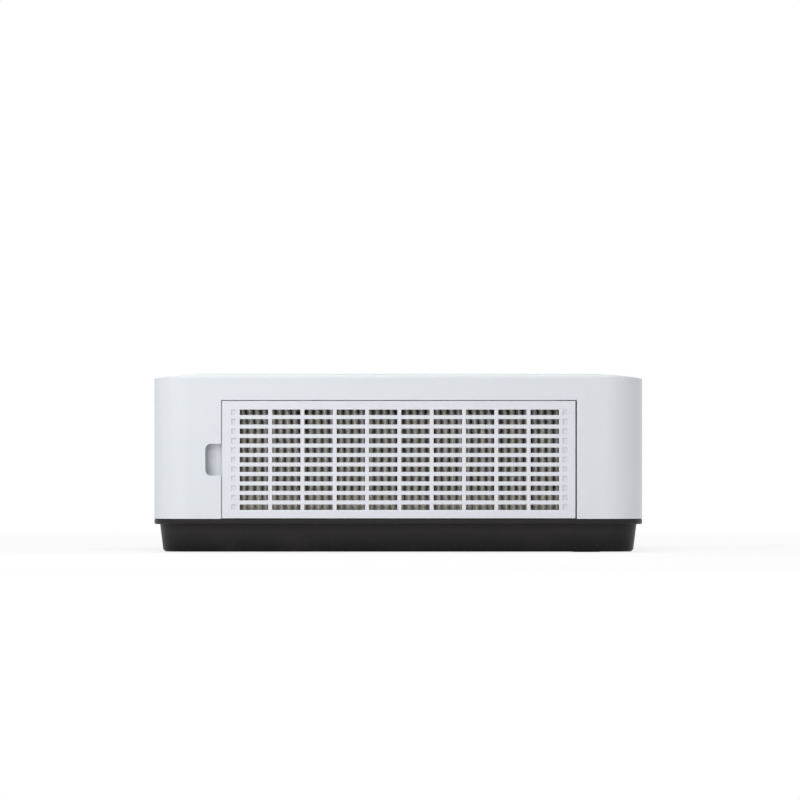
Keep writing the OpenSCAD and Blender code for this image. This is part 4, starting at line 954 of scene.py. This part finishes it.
@dataclass
class FilterDoor(Assembly):
    """Slotted door over the filter."""

    edge: float = 0.33 * MM

    def build(self) -> None:
        """Makes the door with its front edges rounded."""
        _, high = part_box("filter_cover")
        self.rounded("filter_cover", self.rack.cover_white, self.edge, on_plane(0, high.x))


@dataclass
class FilterPack(Assembly):
    """Frame and pleated sheet behind the door."""

    pitch: float = 5.15 * MM
    sheet: float = 0.45 * MM
    inset: float = 0.15 * MM
    margin: float = 0.6 * MM
    levels: int = 40
    lean: float = 1.2 * MM
    lean_from: float = 0.72
    foot_lean: float = 0.35
    foot_to: float = 0.16
    ripple: float = 0.5 * MM
    dent: float = 0.6 * MM
    pale_rise: float = 14 * MM

    def build(self) -> None:
        """Makes the sheet and dresses the frame."""
        dress("filter_frame", self.rack.dark_plastic)
        self.pleats()

    def drift(self, y: float, share: float) -> float:
        """How far a fold is pushed along the bay at a height.

        Args:
            y: Place of the fold along the bay.
            share: Height as a share of the sheet, from 0 to 1.

        Returns:
            The shift in metres.
        """
        top = max(share - self.lean_from, 0.0) / (1 - self.lean_from)
        foot = max(self.foot_to - share, 0.0) / self.foot_to
        coarse = noise.noise(Vector((y * 26, share * 3.1, 4.2)))
        fine = noise.noise(Vector((y * 90, share * 7.0, 1.7)))
        leaning = -self.lean * top ** 1.5 + self.foot_lean * self.lean * foot
        return leaning + self.ripple * (coarse + 0.5 * fine)

    def pleats(self) -> None:
        """Sheet folded sharply to and fro, with folds that lean and ripple."""
        low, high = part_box("filter_media")
        inner = self.sheet / 2 + self.inset
        crest, valley = high.x - inner, low.x + inner
        count = round((high.y - low.y) / self.pitch)
        step = (high.y - low.y - 2 * self.margin) / (2 * count)
        rows: list[list[bmesh.types.BMVert]] = []
        shape = Shape()
        for level in range(self.levels + 1):
            share = level / self.levels
            height = low.z + share * (high.z - low.z)
            row = []
            for fold in range(2 * count + 1):
                y = low.y + self.margin + fold * step
                free = 0.0 if fold in (0, 2 * count) else 1.0
                depth = crest if fold % 2 == 0 else valley
                depth -= self.dent * noise.noise(Vector((fold * 3.7, share * 2.0, 0.0))) ** 2
                row.append(shape.bm.verts.new((depth, y + free * self.drift(y, share), height)))
            rows.append(row)
        for lower_row, upper_row in zip(rows, rows[1:]):
            for i in range(2 * count):
                shape.bm.faces.new((lower_row[i], lower_row[i + 1], upper_row[i + 1], upper_row[i]))
        shape.face_out()
        bmesh.ops.solidify(shape.bm, geom=shape.bm.faces[:], thickness=self.sheet)
        shape.face_out()
        # The second colour is painted shade in the valleys between the folds.
        finish = PleatedSheet("pleated_sheet", from_screen(252, 251, 246), from_screen(148, 146, 140), crest,
                              crest - valley, low.z + self.pale_rise).build()
        shape.finish("filter_pleats", finish, self.names.bodies["filter_media"],
                     self.names.slots["filter_media"], ["filter_media"], smooth=60.0, weighted=False)
        log.info("%d pleats", count)


@dataclass
class LensGroup(Assembly):
    """Bezel, shutter, barrel, rings and glass, on one axis."""

    edge: float = 0.3 * MM
    dome: float = 3.4 * MM
    arc_steps: int = 14
    inner_back: float = 24 * MM
    inner_radius: float = 17 * MM
    inner_dome: float = 5 * MM
    inner_thick: float = 7 * MM
    inner_gap: float = 0.5 * MM
    baffle_outer: float = 23.9 * MM
    baffle_start: float = 1 * MM
    baffle_steps: int = 5
    baffle_wall: float = 0.8 * MM
    baffle_flat: float = 0.8
    seat_lip: float = 0.4 * MM
    seat_deep: float = 4 * MM
    mark_half: float = 0.5 * MM
    mark_margin: float = 2.5 * MM
    mark_height: float = 0.12 * MM
    mark_sunk: float = 0.1 * MM

    def build(self) -> None:
        """Makes the pieces."""
        self.rounded("lens_bezel", self.rack.gloss_black, self.edge)
        self.rounded("lens_shutter", self.rack.dark_plastic, self.edge)
        dress("lens_barrel", self.rack.black_metal)
        for ring in ("zoom_ring", "focus_ring"):
            self.rounded(ring, self.rack.rubber, self.edge)
            self.ring_mark(ring)
        self.front_glass()
        self.inner_glass()

    def cap_profile(self, radius: float, rise: float, thickness: float) -> Corners:
        """Half section of a lens with a domed front and a flat back.

        Args:
            radius: Radius of the lens.
            rise: Height of the dome.
            thickness: Thickness at the axis.

        Returns:
            Points as distance from the axis and depth behind the front.
        """
        sphere = (radius ** 2 + rise ** 2) / (2 * rise)
        widest = math.asin(radius / sphere)
        points = []
        for step in range(self.arc_steps + 1):
            angle = widest * step / self.arc_steps
            points.append((sphere * math.sin(angle), sphere * (1 - math.cos(angle))))
        return points + [(radius, thickness), (0.0, thickness)]

    def front_glass(self) -> None:
        """Domed front element, in the place of the plain one."""
        low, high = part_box("front_lens")
        centre = (low + high) / 2
        glass = self.cap_profile((high.x - low.x) / 2, self.dome, high.y - low.y)
        shape = Shape().lathe(glass, (centre.x, low.y, centre.z), (0, 1, 0)).face_out()
        shape.finish("front_glass", self.rack.lens_glass, ROOT, self.names.slots["front_lens"],
                     ["front_lens"], smooth=40.0, weighted=False)

    def inner_glass(self) -> None:
        """Second element in its stepped black mount, seen through the first."""
        low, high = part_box("front_lens")
        centre = (low + high) / 2
        depth = self.inner_back / self.baffle_steps
        fall = (self.baffle_outer - self.inner_radius) / self.baffle_steps
        profile = [(self.baffle_outer, self.baffle_start)]
        for step in range(self.baffle_steps):
            inner = self.baffle_outer - fall * step - self.baffle_wall
            start = self.baffle_start + depth * step
            profile += [(inner, start), (inner, start + depth * self.baffle_flat)]
        seat, end = self.inner_radius - self.seat_lip, self.inner_back + self.seat_deep
        profile += [(seat, self.inner_back), (seat, end), (self.baffle_outer, end)]
        baffle = Shape().lathe(profile, (centre.x, high.y, centre.z), (0, 1, 0)).face_out()
        self.add(baffle, "lens_baffle", self.rack.black_metal, "lens_barrel")
        front = (centre.x, high.y + self.inner_back - self.inner_dome, centre.z)
        glass = self.cap_profile(self.inner_radius - self.inner_gap, self.inner_dome, self.inner_thick)
        self.add(Shape().lathe(glass, front, (0, 1, 0)).face_out(), "inner_glass", self.rack.lens_glass,
                 "front_lens", smooth=40.0)

    def ring_mark(self, ring: str) -> None:
        """Pale line along the top of a ring's finger tab.

        Args:
            ring: The ring's node.
        """
        low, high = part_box(ring)
        middle = (low.x + high.x) / 2
        shape = Shape().block((middle - self.mark_half, low.y + self.mark_margin, high.z - self.mark_sunk),
                              (middle + self.mark_half, high.y - self.mark_margin, high.z + self.mark_height))
        self.add(shape, f"{ring}_mark", self.rack.mark_pale, ring)


@dataclass
class CaseFaces(Assembly):
    """Grilles and small windows in the front and on the disc side."""

    edge: float = 0.25 * MM

    def build(self) -> None:
        """Makes the pieces."""
        self.rounded("exhaust_grille", self.rack.grille_grey, self.edge)
        low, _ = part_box("speaker_grille")
        self.rounded("speaker_grille", self.rack.grille_grey, self.edge, on_plane(0, low.x))
        dress("ir_windows", self.rack.ir_red)
        dress("speaker_driver", self.rack.dark_plastic)


@dataclass
class JackPanel(Assembly):
    """Panel on the back with its sockets, the mains inlet and the rocker switch."""

    edge: float = 0.25 * MM
    jack_centres: tuple[float, ...] = (56 * MM, 67 * MM, 78 * MM)
    jack_radii: tuple[float, float] = (2.7 * MM, 4.25 * MM)
    jack_proud: float = 1.6 * MM
    jack_sunk: float = 0.1 * MM
    jack_drop: float = 0.95 * MM
    sleeve_radii: tuple[float, float] = (1.75 * MM, 2.5 * MM)
    sleeve_ends: tuple[float, float] = (-0.1 * MM, -2.0 * MM)
    blades: tuple[tuple[float, float], ...] = ((-7 * MM, -1.5 * MM), (7 * MM, -1.5 * MM), (0.0, 2.5 * MM))
    blade: tuple[float, float] = (2.1 * MM, 4.1 * MM)
    blade_root: float = 17 * MM
    blade_tip: float = 4.4 * MM
    inlet_z: float = 48 * MM
    pins: int = 8
    pin_pitch: float = 1.02 * MM
    pin_half: float = 0.2 * MM
    pin_ends: tuple[float, float] = (11 * MM, 2.2 * MM)
    pin_drops: tuple[float, float] = (3.4 * MM, 3 * MM)
    hdmi_size: tuple[float, float] = (15.2 * MM, 6.2 * MM)
    hdmi_tongue: tuple[float, float, float] = (10 * MM, 1.4 * MM, 0.8 * MM)
    hdmi_contacts: tuple[int, float] = (10, 0.45 * MM)
    usb_size: tuple[float, float] = (13.4 * MM, 6.4 * MM)
    usb_tongue: tuple[float, float, float] = (10.6 * MM, 1.8 * MM, 1 * MM)
    usb_contacts: tuple[int, float] = (4, 1.1 * MM)
    tongue_root: float = 9.5 * MM
    tongue_back: float = 1.5 * MM
    tongue_skin: float = 0.06 * MM
    tongue_edge: float = 0.15 * MM
    contact_margin: float = 0.6 * MM
    contact_back: float = 0.5 * MM
    vga_size: tuple[float, float] = (31 * MM, 12.6 * MM)
    vga_mouth: tuple[float, float, float] = (18.2 * MM, 9.6 * MM, 2.6 * MM)
    vga_recess: float = 3.2 * MM
    vga_base: tuple[float, float] = (0.2 * MM, 0.3 * MM)
    vga_rim: float = 0.5 * MM
    vga_proud: float = 0.1 * MM
    mouth_back: float = 0.3 * MM
    sign_ring: tuple[float, float] = (1.7 * MM, 2.2 * MM)
    sign_bar: tuple[float, float] = (0.3 * MM, 2 * MM)
    sign_sunk: float = 0.1 * MM
    sign_proud: float = 0.13 * MM
    slope_area: float = (8 * MM) ** 2

    def build(self) -> None:
        """Makes the pieces."""
        _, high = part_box("jack_panel")
        self.rounded("jack_panel", self.rack.dark_plastic, self.edge, on_plane(1, high.y))
        self.plain(hdmi_sockets=self.rack.nickel, usb_socket=self.rack.nickel, lan_socket=self.rack.nickel,
                   vga_socket=self.rack.socket_blue, av_jacks=self.rack.dark_plastic)
        _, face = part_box("ac_inlet")
        self.rounded("ac_inlet", self.rack.dark_plastic, self.edge, on_plane(1, face.y))
        self.rounded("power_switch", self.rack.gloss_black, self.edge)
        self.jack_rings()
        self.mains_blades()
        self.network_pins()
        self.video_shell()
        low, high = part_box("hdmi_sockets")
        half, height = self.hdmi_size[0] / 2, self.hdmi_size[1]
        for side, x in (("left", low.x + half), ("right", high.x - half)):
            self.tongue(f"hdmi_{side}", "hdmi_sockets", x, height, self.hdmi_tongue, self.hdmi_contacts)
        low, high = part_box("usb_socket")
        self.tongue("usb", "usb_socket", (low.x + high.x) / 2, self.usb_size[1], self.usb_tongue,
                    self.usb_contacts)
        self.rocker_signs()

    def video_shell(self) -> None:
        """Plated base and D-shaped rim of the video socket, round its blue insert."""
        low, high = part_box("vga_socket")
        x, z = (low.x + high.x) / 2, high.z - self.vga_size[1] / 2
        base = high.y + self.mouth_back - self.vga_recess
        half_w, half_h = self.vga_size[0] / 2, self.vga_size[1] / 2
        shape = Shape().block((x - half_w, base - self.vga_base[0], z - half_h),
                              (x + half_w, base + self.vga_base[1], z + half_h))
        ring = [(x + a, base, z + b) for a, b in rounded_corners(*self.vga_mouth)]
        shape.rim(ring, self.vga_rim, (0, high.y + self.vga_proud - base, 0))
        self.add(shape.face_out(), "video_shell", self.rack.nickel, "vga_socket")

    def tongue(self, name: str, node: str, x: float, height: float, size: tuple[float, float, float],
               contacts: tuple[int, float]) -> None:
        """Black tongue over the plain one of a socket, with gold contacts under it.

        Args:
            name: Start of the names of both pieces.
            node: The socket's node.
            x: Middle of the socket.
            height: Height of the socket.
            size: Width and thickness of the tongue, and how far it stands over the middle.
            contacts: Number of contacts and the width of one.
        """
        _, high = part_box(node)
        width, thick, lift = size
        count, contact_w = contacts
        skin = self.tongue_skin
        z = high.z - height / 2 + lift
        back, front = high.y - self.tongue_root, high.y + self.mouth_back - self.tongue_back + skin
        body = Shape().block((x - width / 2 - skin, back, z - thick / 2 - skin),
                             (x + width / 2 + skin, front, z + thick / 2 + skin))
        self.add(body.soften(self.tongue_edge), f"{name}_tongue", self.rack.gloss_black, node)
        strips = Shape()
        pitch = (width - self.contact_margin) / count
        for number in range(count):
            middle = x + (number - (count - 1) / 2) * pitch
            strips.block((middle - contact_w / 2, back, z - thick / 2 - 2.5 * skin),
                         (middle + contact_w / 2, front - self.contact_back, z - thick / 2))
        self.add(strips, f"{name}_contacts", self.rack.gold, node)

    def rocker_signs(self) -> None:
        """Raised bar on the upper slope of the rocker and ring on the lower one."""
        probe = Shape().node_copy("power_switch").face_out()
        slopes = [face for face in probe.bm.faces
                  if face.normal.y > 0.9 and face.calc_area() > self.slope_area]
        slopes.sort(key=lambda face: face.calc_center_median().z)
        places = [(face.calc_center_median(), face.normal.copy()) for face in slopes]
        probe.bm.free()
        thick = self.sign_sunk + self.sign_proud
        (ring_at, ring_out), (bar_at, bar_out) = places[0], places[-1]
        shape = Shape().ring(self.sign_ring, (0.0, thick), ring_at - ring_out * self.sign_sunk, ring_out, 40)
        up = Vector((1, 0, 0)).cross(bar_out).normalized()
        foot = bar_at - bar_out * self.sign_sunk
        half_w, half_h = self.sign_bar
        shape.outline([foot + Vector((a, 0, 0)) + up * b for a, b in bar(-half_w, half_w, -half_h, half_h)],
                      bar_out * thick)
        self.add(shape.face_out(), "rocker_signs", self.rack.mark_pale, "power_switch")

    def jack_rings(self) -> None:
        """Coloured rings and plated sleeves of the three round sockets."""
        _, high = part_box("av_jacks")
        panel_low, panel_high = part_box("jack_panel")
        middle = (panel_low.x + panel_high.x) / 2
        back = panel_high.y - self.jack_sunk
        height = high.z - self.jack_drop - self.jack_radii[1]
        finishes = (self.rack.jack_yellow, self.rack.jack_white, self.rack.jack_red)
        for number, (across, finish) in enumerate(zip(self.jack_centres, finishes), 1):
            centre = (middle + across, back, height)
            ring = Shape().ring(self.jack_radii, (0.0, -self.jack_proud), centre, (0, 1, 0), 64)
            self.add(ring.face_out().soften(0.2 * MM), f"jack_ring_{number}", finish, "av_jacks")
            sleeve = Shape().ring(self.sleeve_radii, self.sleeve_ends, centre, (0, 1, 0))
            self.add(sleeve.face_out(), f"jack_sleeve_{number}", self.rack.nickel, "av_jacks")

    def mains_blades(self) -> None:
        """Plated sleeves over the three blades of the inlet."""
        low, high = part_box("ac_inlet")
        middle = (low.x + high.x) / 2
        half_w, half_h = self.blade[0] / 2, self.blade[1] / 2
        shape = Shape()
        for across, up in self.blades:
            x, z = middle - across, self.inlet_z + up
            shape.block((x - half_w, high.y - self.blade_root, z - half_h),
                        (x + half_w, high.y - self.blade_tip, z + half_h))
        self.add(shape.soften(0.35 * MM), "inlet_blades", self.rack.nickel, "ac_inlet")

    def network_pins(self) -> None:
        """Gold contacts along the top of the network socket."""
        low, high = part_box("lan_socket")
        middle = (low.x + high.x) / 2
        shape = Shape()
        for pin in range(self.pins):
            x = middle + (pin - (self.pins - 1) / 2) * self.pin_pitch
            shape.block((x - self.pin_half, high.y - self.pin_ends[0], high.z - self.pin_drops[0]),
                        (x + self.pin_half, high.y - self.pin_ends[1], high.z - self.pin_drops[1]))
        self.add(shape, "network_contacts", self.rack.gold, "lan_socket")


class Mark(Enum):
    """Raised sign on a key."""

    POWER = "power"
    SOURCE = "source"
    MENU = "menu"
    UP = "up"
    DOWN = "down"
    LEFT = "left"
    RIGHT = "right"
    ENTER = "enter"
    PLAY = "play"
    STOP = "stop"

# Outlines and rings of the signs in millimetres, right and up as someone behind the lens sees them
ARROW: Corners = [(-1.5, -0.9), (1.5, -0.9), (0.0, 1.2)]
OUTLINES: dict[Mark, list[Corners]] = {
    Mark.POWER: [bar(-0.25, 0.25, 0.8, 3.1)],
    Mark.SOURCE: [[(-2.0, -0.3), (0.0, -0.3), (0.0, -1.2), (1.4, 0.0), (0.0, 1.2), (0.0, 0.3), (-2.0, 0.3)],
                  bar(1.8, 2.2, -1.6, 1.6)],
    Mark.MENU: [bar(-1.7, 1.7, y - 0.25, y + 0.25) for y in (-1.3, 0.0, 1.3)],
    Mark.UP: [ARROW],
    Mark.DOWN: [[(-x, -y) for x, y in ARROW]],
    Mark.LEFT: [[(-y, x) for x, y in ARROW]],
    Mark.RIGHT: [[(y, -x) for x, y in ARROW]],
    Mark.ENTER: [],
    Mark.PLAY: [[(-1.1, -1.5), (1.5, 0.0), (-1.1, 1.5)]],
    Mark.STOP: [bar(-1.2, 1.2, -1.2, 1.2)],
}
RINGS: dict[Mark, tuple[float, float]] = {Mark.POWER: (2.0, 2.5), Mark.ENTER: (1.4, 1.9)}
EJECT: list[Corners] = [[(-1.5, -0.3), (1.5, -0.3), (0.0, 1.7)], bar(-1.5, 1.5, -1.5, -0.9)]


@dataclass
class ControlPanel(Assembly):
    """Plate in the roof with its keys and their raised signs."""

    edge: float = 0.25 * MM
    key_edge: float = 0.6 * MM
    sign: float = 0.13 * MM
    sign_sunk: float = 0.1 * MM

    def build(self) -> None:
        """Makes the pieces."""
        _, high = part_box("control_plate")
        self.rounded("control_plate", self.rack.dark_plastic, self.edge, on_plane(2, high.z))
        dress("indicator_lenses", self.rack.indicator)
        for mark in Mark:
            node = f"{mark.value}_button"
            _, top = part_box(node)
            self.rounded(node, self.rack.key_grey, self.key_edge, on_plane(2, top.z), segments=3)
            self.draw(mark, node)
        self.eject_key()

    def draw(self, mark: Mark, node: str) -> None:
        """Makes the raised sign of a key.

        Args:
            mark: The sign.
            node: The key.
        """
        low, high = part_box(node)
        centre = (low + high) / 2
        base, thick = high.z - self.sign_sunk, self.sign + self.sign_sunk
        shape = Shape()
        if mark in RINGS:
            inner, outer = RINGS[mark]
            shape.ring((inner * MM, outer * MM), (0.0, thick), (centre.x, centre.y, base), (0, 0, 1))
        for points in OUTLINES[mark]:
            shape.outline([(centre.x - x * MM, centre.y - y * MM, base) for x, y in points], (0, 0, thick))
        self.add(shape.face_out(), f"{mark.value}_sign", self.rack.mark_dark, node)

    def eject_key(self) -> None:
        """Key beside the tray, with a triangle over a bar."""
        low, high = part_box("eject_button")
        self.rounded("eject_button", self.rack.key_grey, self.key_edge, on_plane(0, low.x), segments=3)
        centre = (low + high) / 2
        shape = Shape()
        for points in EJECT:
            shape.outline([(low.x - self.sign, centre.y + x * MM, centre.z + y * MM) for x, y in points],
                          (self.sign + self.sign_sunk, 0, 0))
        self.add(shape.face_out(), "eject_sign", self.rack.mark_dark, "eject_button")


@dataclass
class DiscDrive(Assembly):
    """Tray, its door, and the drive under it."""

    edge: float = 0.3 * MM
    front_edge: float = 0.5 * MM

    def build(self) -> None:
        """Makes the pieces."""
        _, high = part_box("disc_tray")
        self.rounded("disc_tray", self.rack.dark_plastic, self.edge, on_plane(2, high.z))
        rack = self.rack
        self.rounded("tray_front", rack.case_white, self.front_edge)
        self.plain(drive_chassis=rack.nickel, clamp_bridge=rack.nickel, clamper=rack.acetal,
                   spindle_motor=rack.zinc, turntable=rack.rubber, pickup_sled=rack.dark_plastic,
                   loading_gear=rack.acetal)


@dataclass
class Inside(Assembly):
    """Boards, lamp, light engine and fans."""

    board: float = 1.6 * MM

    def build(self) -> None:
        """Dresses the pieces."""
        for node in ("main_board", "power_supply"):
            low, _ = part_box(node)
            dress(node, CircuitBoard(f"{node}_mask", low.z + self.board).build())
        rack = self.rack
        self.plain(lamp_housing=rack.nickel, lamp_unit=rack.zinc, light_engine=rack.dark_plastic,
                   prism_block=rack.prism_glass, intake_fan_frame=rack.dark_plastic,
                   exhaust_fan_frame=rack.dark_plastic, intake_fan=rack.gloss_black,
                   exhaust_fan=rack.gloss_black)


@dataclass
class Feet(Assembly):
    """Front foot, its release key and the two rear feet."""

    edge: float = 0.4 * MM

    def build(self) -> None:
        """Makes the pieces."""
        for foot in ("front_foot", "rear_foot_left", "rear_foot_right"):
            self.rounded(foot, self.rack.rubber, self.edge)
        self.rounded("foot_button", self.rack.dark_plastic, self.edge)


# ---- Floor, light and camera ----


@dataclass
class Studio:
    """Pale floor, soft light and a level camera in front of the filter door."""

    face_x: float = 0.185
    distance: float = 10.0
    view_width: float = 0.5514
    middle_y: float = 0.0012
    eye_z: float = 0.1052
    sensor: float = 36.0
    floor_half: float = 12.0
    floor_white: float = 0.82
    shadow_reach: float = 0.4
    white_from: float = 1.6
    world_light: float = 0.5
    aim: Point = (0.1, 0.0, 0.06)
    lamps: tuple[tuple[str, Point, float, float], ...] = (
        ("key_light", (0.92, -0.48, 0.68), 0.7, 4.4),
        ("top_light", (0.3, 0.0, 1.45), 0.8, 5.2),
        ("fill_light", (-1.6, 1.4, 1.6), 1.6, 10.0),
    )

    def build(self) -> None:
        """Makes the studio."""
        bpy.context.scene.view_settings.view_transform = "Standard"
        self.world()
        self.floor()
        for name, place, size, power in self.lamps:
            self.lamp(name, place, size, power)
        self.camera()

    def backdrop_share(self, graph: Graph) -> Wire:
        """1 for what the camera sees directly, in a mirror or through glass, and 0 for lighting."""
        rays = graph.add("ShaderNodeLightPath")
        seen = Wire(graph, rays.outputs["Is Camera Ray"]) + Wire(graph, rays.outputs["Is Glossy Ray"])
        return (seen + Wire(graph, rays.outputs["Is Transmission Ray"])).ramp(0.0, 1.0)

    def world(self) -> None:
        """White surroundings that light the object more softly than they look."""
        world = bpy.data.worlds.new("surroundings")
        bpy.context.scene.world = world
        world.use_nodes = True
        tree = world.node_tree
        tree.nodes.clear()
        graph = Graph.over(tree)
        share = self.backdrop_share(graph)
        strength = share * (1 - self.world_light) + self.world_light
        back = graph.add("ShaderNodeBackground", None, {"Color": (1, 1, 1, 1), "Strength": strength})
        output = graph.add("ShaderNodeOutputWorld")
        tree.links.new(back.outputs[0], output.inputs["Surface"])

    def floor(self) -> None:
        """Floor that stays white where nothing shades it."""
        shape = Shape()
        bmesh.ops.create_grid(shape.bm, x_segments=1, y_segments=1, size=self.floor_half)
        mesh = bpy.data.meshes.new("floor")
        shape.bm.to_mesh(mesh)
        shape.bm.free()
        graph = Graph("floor_paint")
        tone = graph.tint(graph.noise(2.0), (0.9, 0.9, 0.9), (0.92, 0.92, 0.92))
        paint = graph.add("ShaderNodeBsdfDiffuse", None, {"Color": tone})
        glow = graph.add("ShaderNodeEmission", None, {"Color": (1, 1, 1, 1), "Strength": 1.0})
        across = graph.add("ShaderNodeVectorMath", {"operation": "LENGTH"}, {0: graph.place})
        away = Wire(graph, across.outputs["Value"]).ramp(self.shadow_reach, self.white_from)
        lit = away * (1 - self.floor_white) + self.floor_white
        mixed = graph.add("ShaderNodeMixShader", None, {0: self.backdrop_share(graph) * lit})
        graph.tree.links.new(paint.outputs[0], mixed.inputs[1])
        graph.tree.links.new(glow.outputs[0], mixed.inputs[2])
        output = graph.add("ShaderNodeOutputMaterial")
        graph.tree.links.new(mixed.outputs[0], output.inputs["Surface"])
        mesh.materials.append(graph.material)
        floor = bpy.data.objects.new("floor", mesh)
        bpy.context.scene.collection.objects.link(floor)

    def lamp(self, name: str, place: Point, size: float, power: float) -> None:
        """Adds a large square lamp that faces the object.

        Args:
            name: Its name.
            place: Its middle.
            size: Its side.
            power: Its power in watts.
        """
        data = bpy.data.lights.new(name, "AREA")
        data.shape = "SQUARE"
        data.size = size
        data.energy = power
        lamp = bpy.data.objects.new(name, data)
        bpy.context.scene.collection.objects.link(lamp)
        lamp.location = place
        aim = Vector(self.aim) - Vector(place)
        lamp.rotation_euler = aim.to_track_quat("-Z", "Y").to_euler()

    def camera(self) -> None:
        """Level camera that looks along -X at the filter door."""
        data = bpy.data.cameras.new("camera")
        data.sensor_width = self.sensor
        data.lens = self.sensor * self.distance / self.view_width
        data.dof.use_dof = False
        camera = bpy.data.objects.new("camera", data)
        bpy.context.scene.collection.objects.link(camera)
        camera.location = (self.face_x + self.distance, self.middle_y, self.eye_z)
        camera.rotation_euler = (math.pi / 2, 0.0, math.pi / 2)
        bpy.context.scene.camera = camera


ASSEMBLIES: tuple[type[Assembly], ...] = (
    Case, FilterDoor, FilterPack, LensGroup, CaseFaces, JackPanel, ControlPanel, DiscDrive, Inside, Feet,
)


def main() -> None:
    """Builds every sub-assembly around the frame, in order."""
    logging.basicConfig(level=logging.INFO, format="%(message)s")
    rack = FinishRack()
    names = Register()
    Studio().build()
    for kind in ASSEMBLIES:
        kind(rack, names).build()
        log.info("%s is done", kind.__name__)


if __name__ == "__main__":
    main()
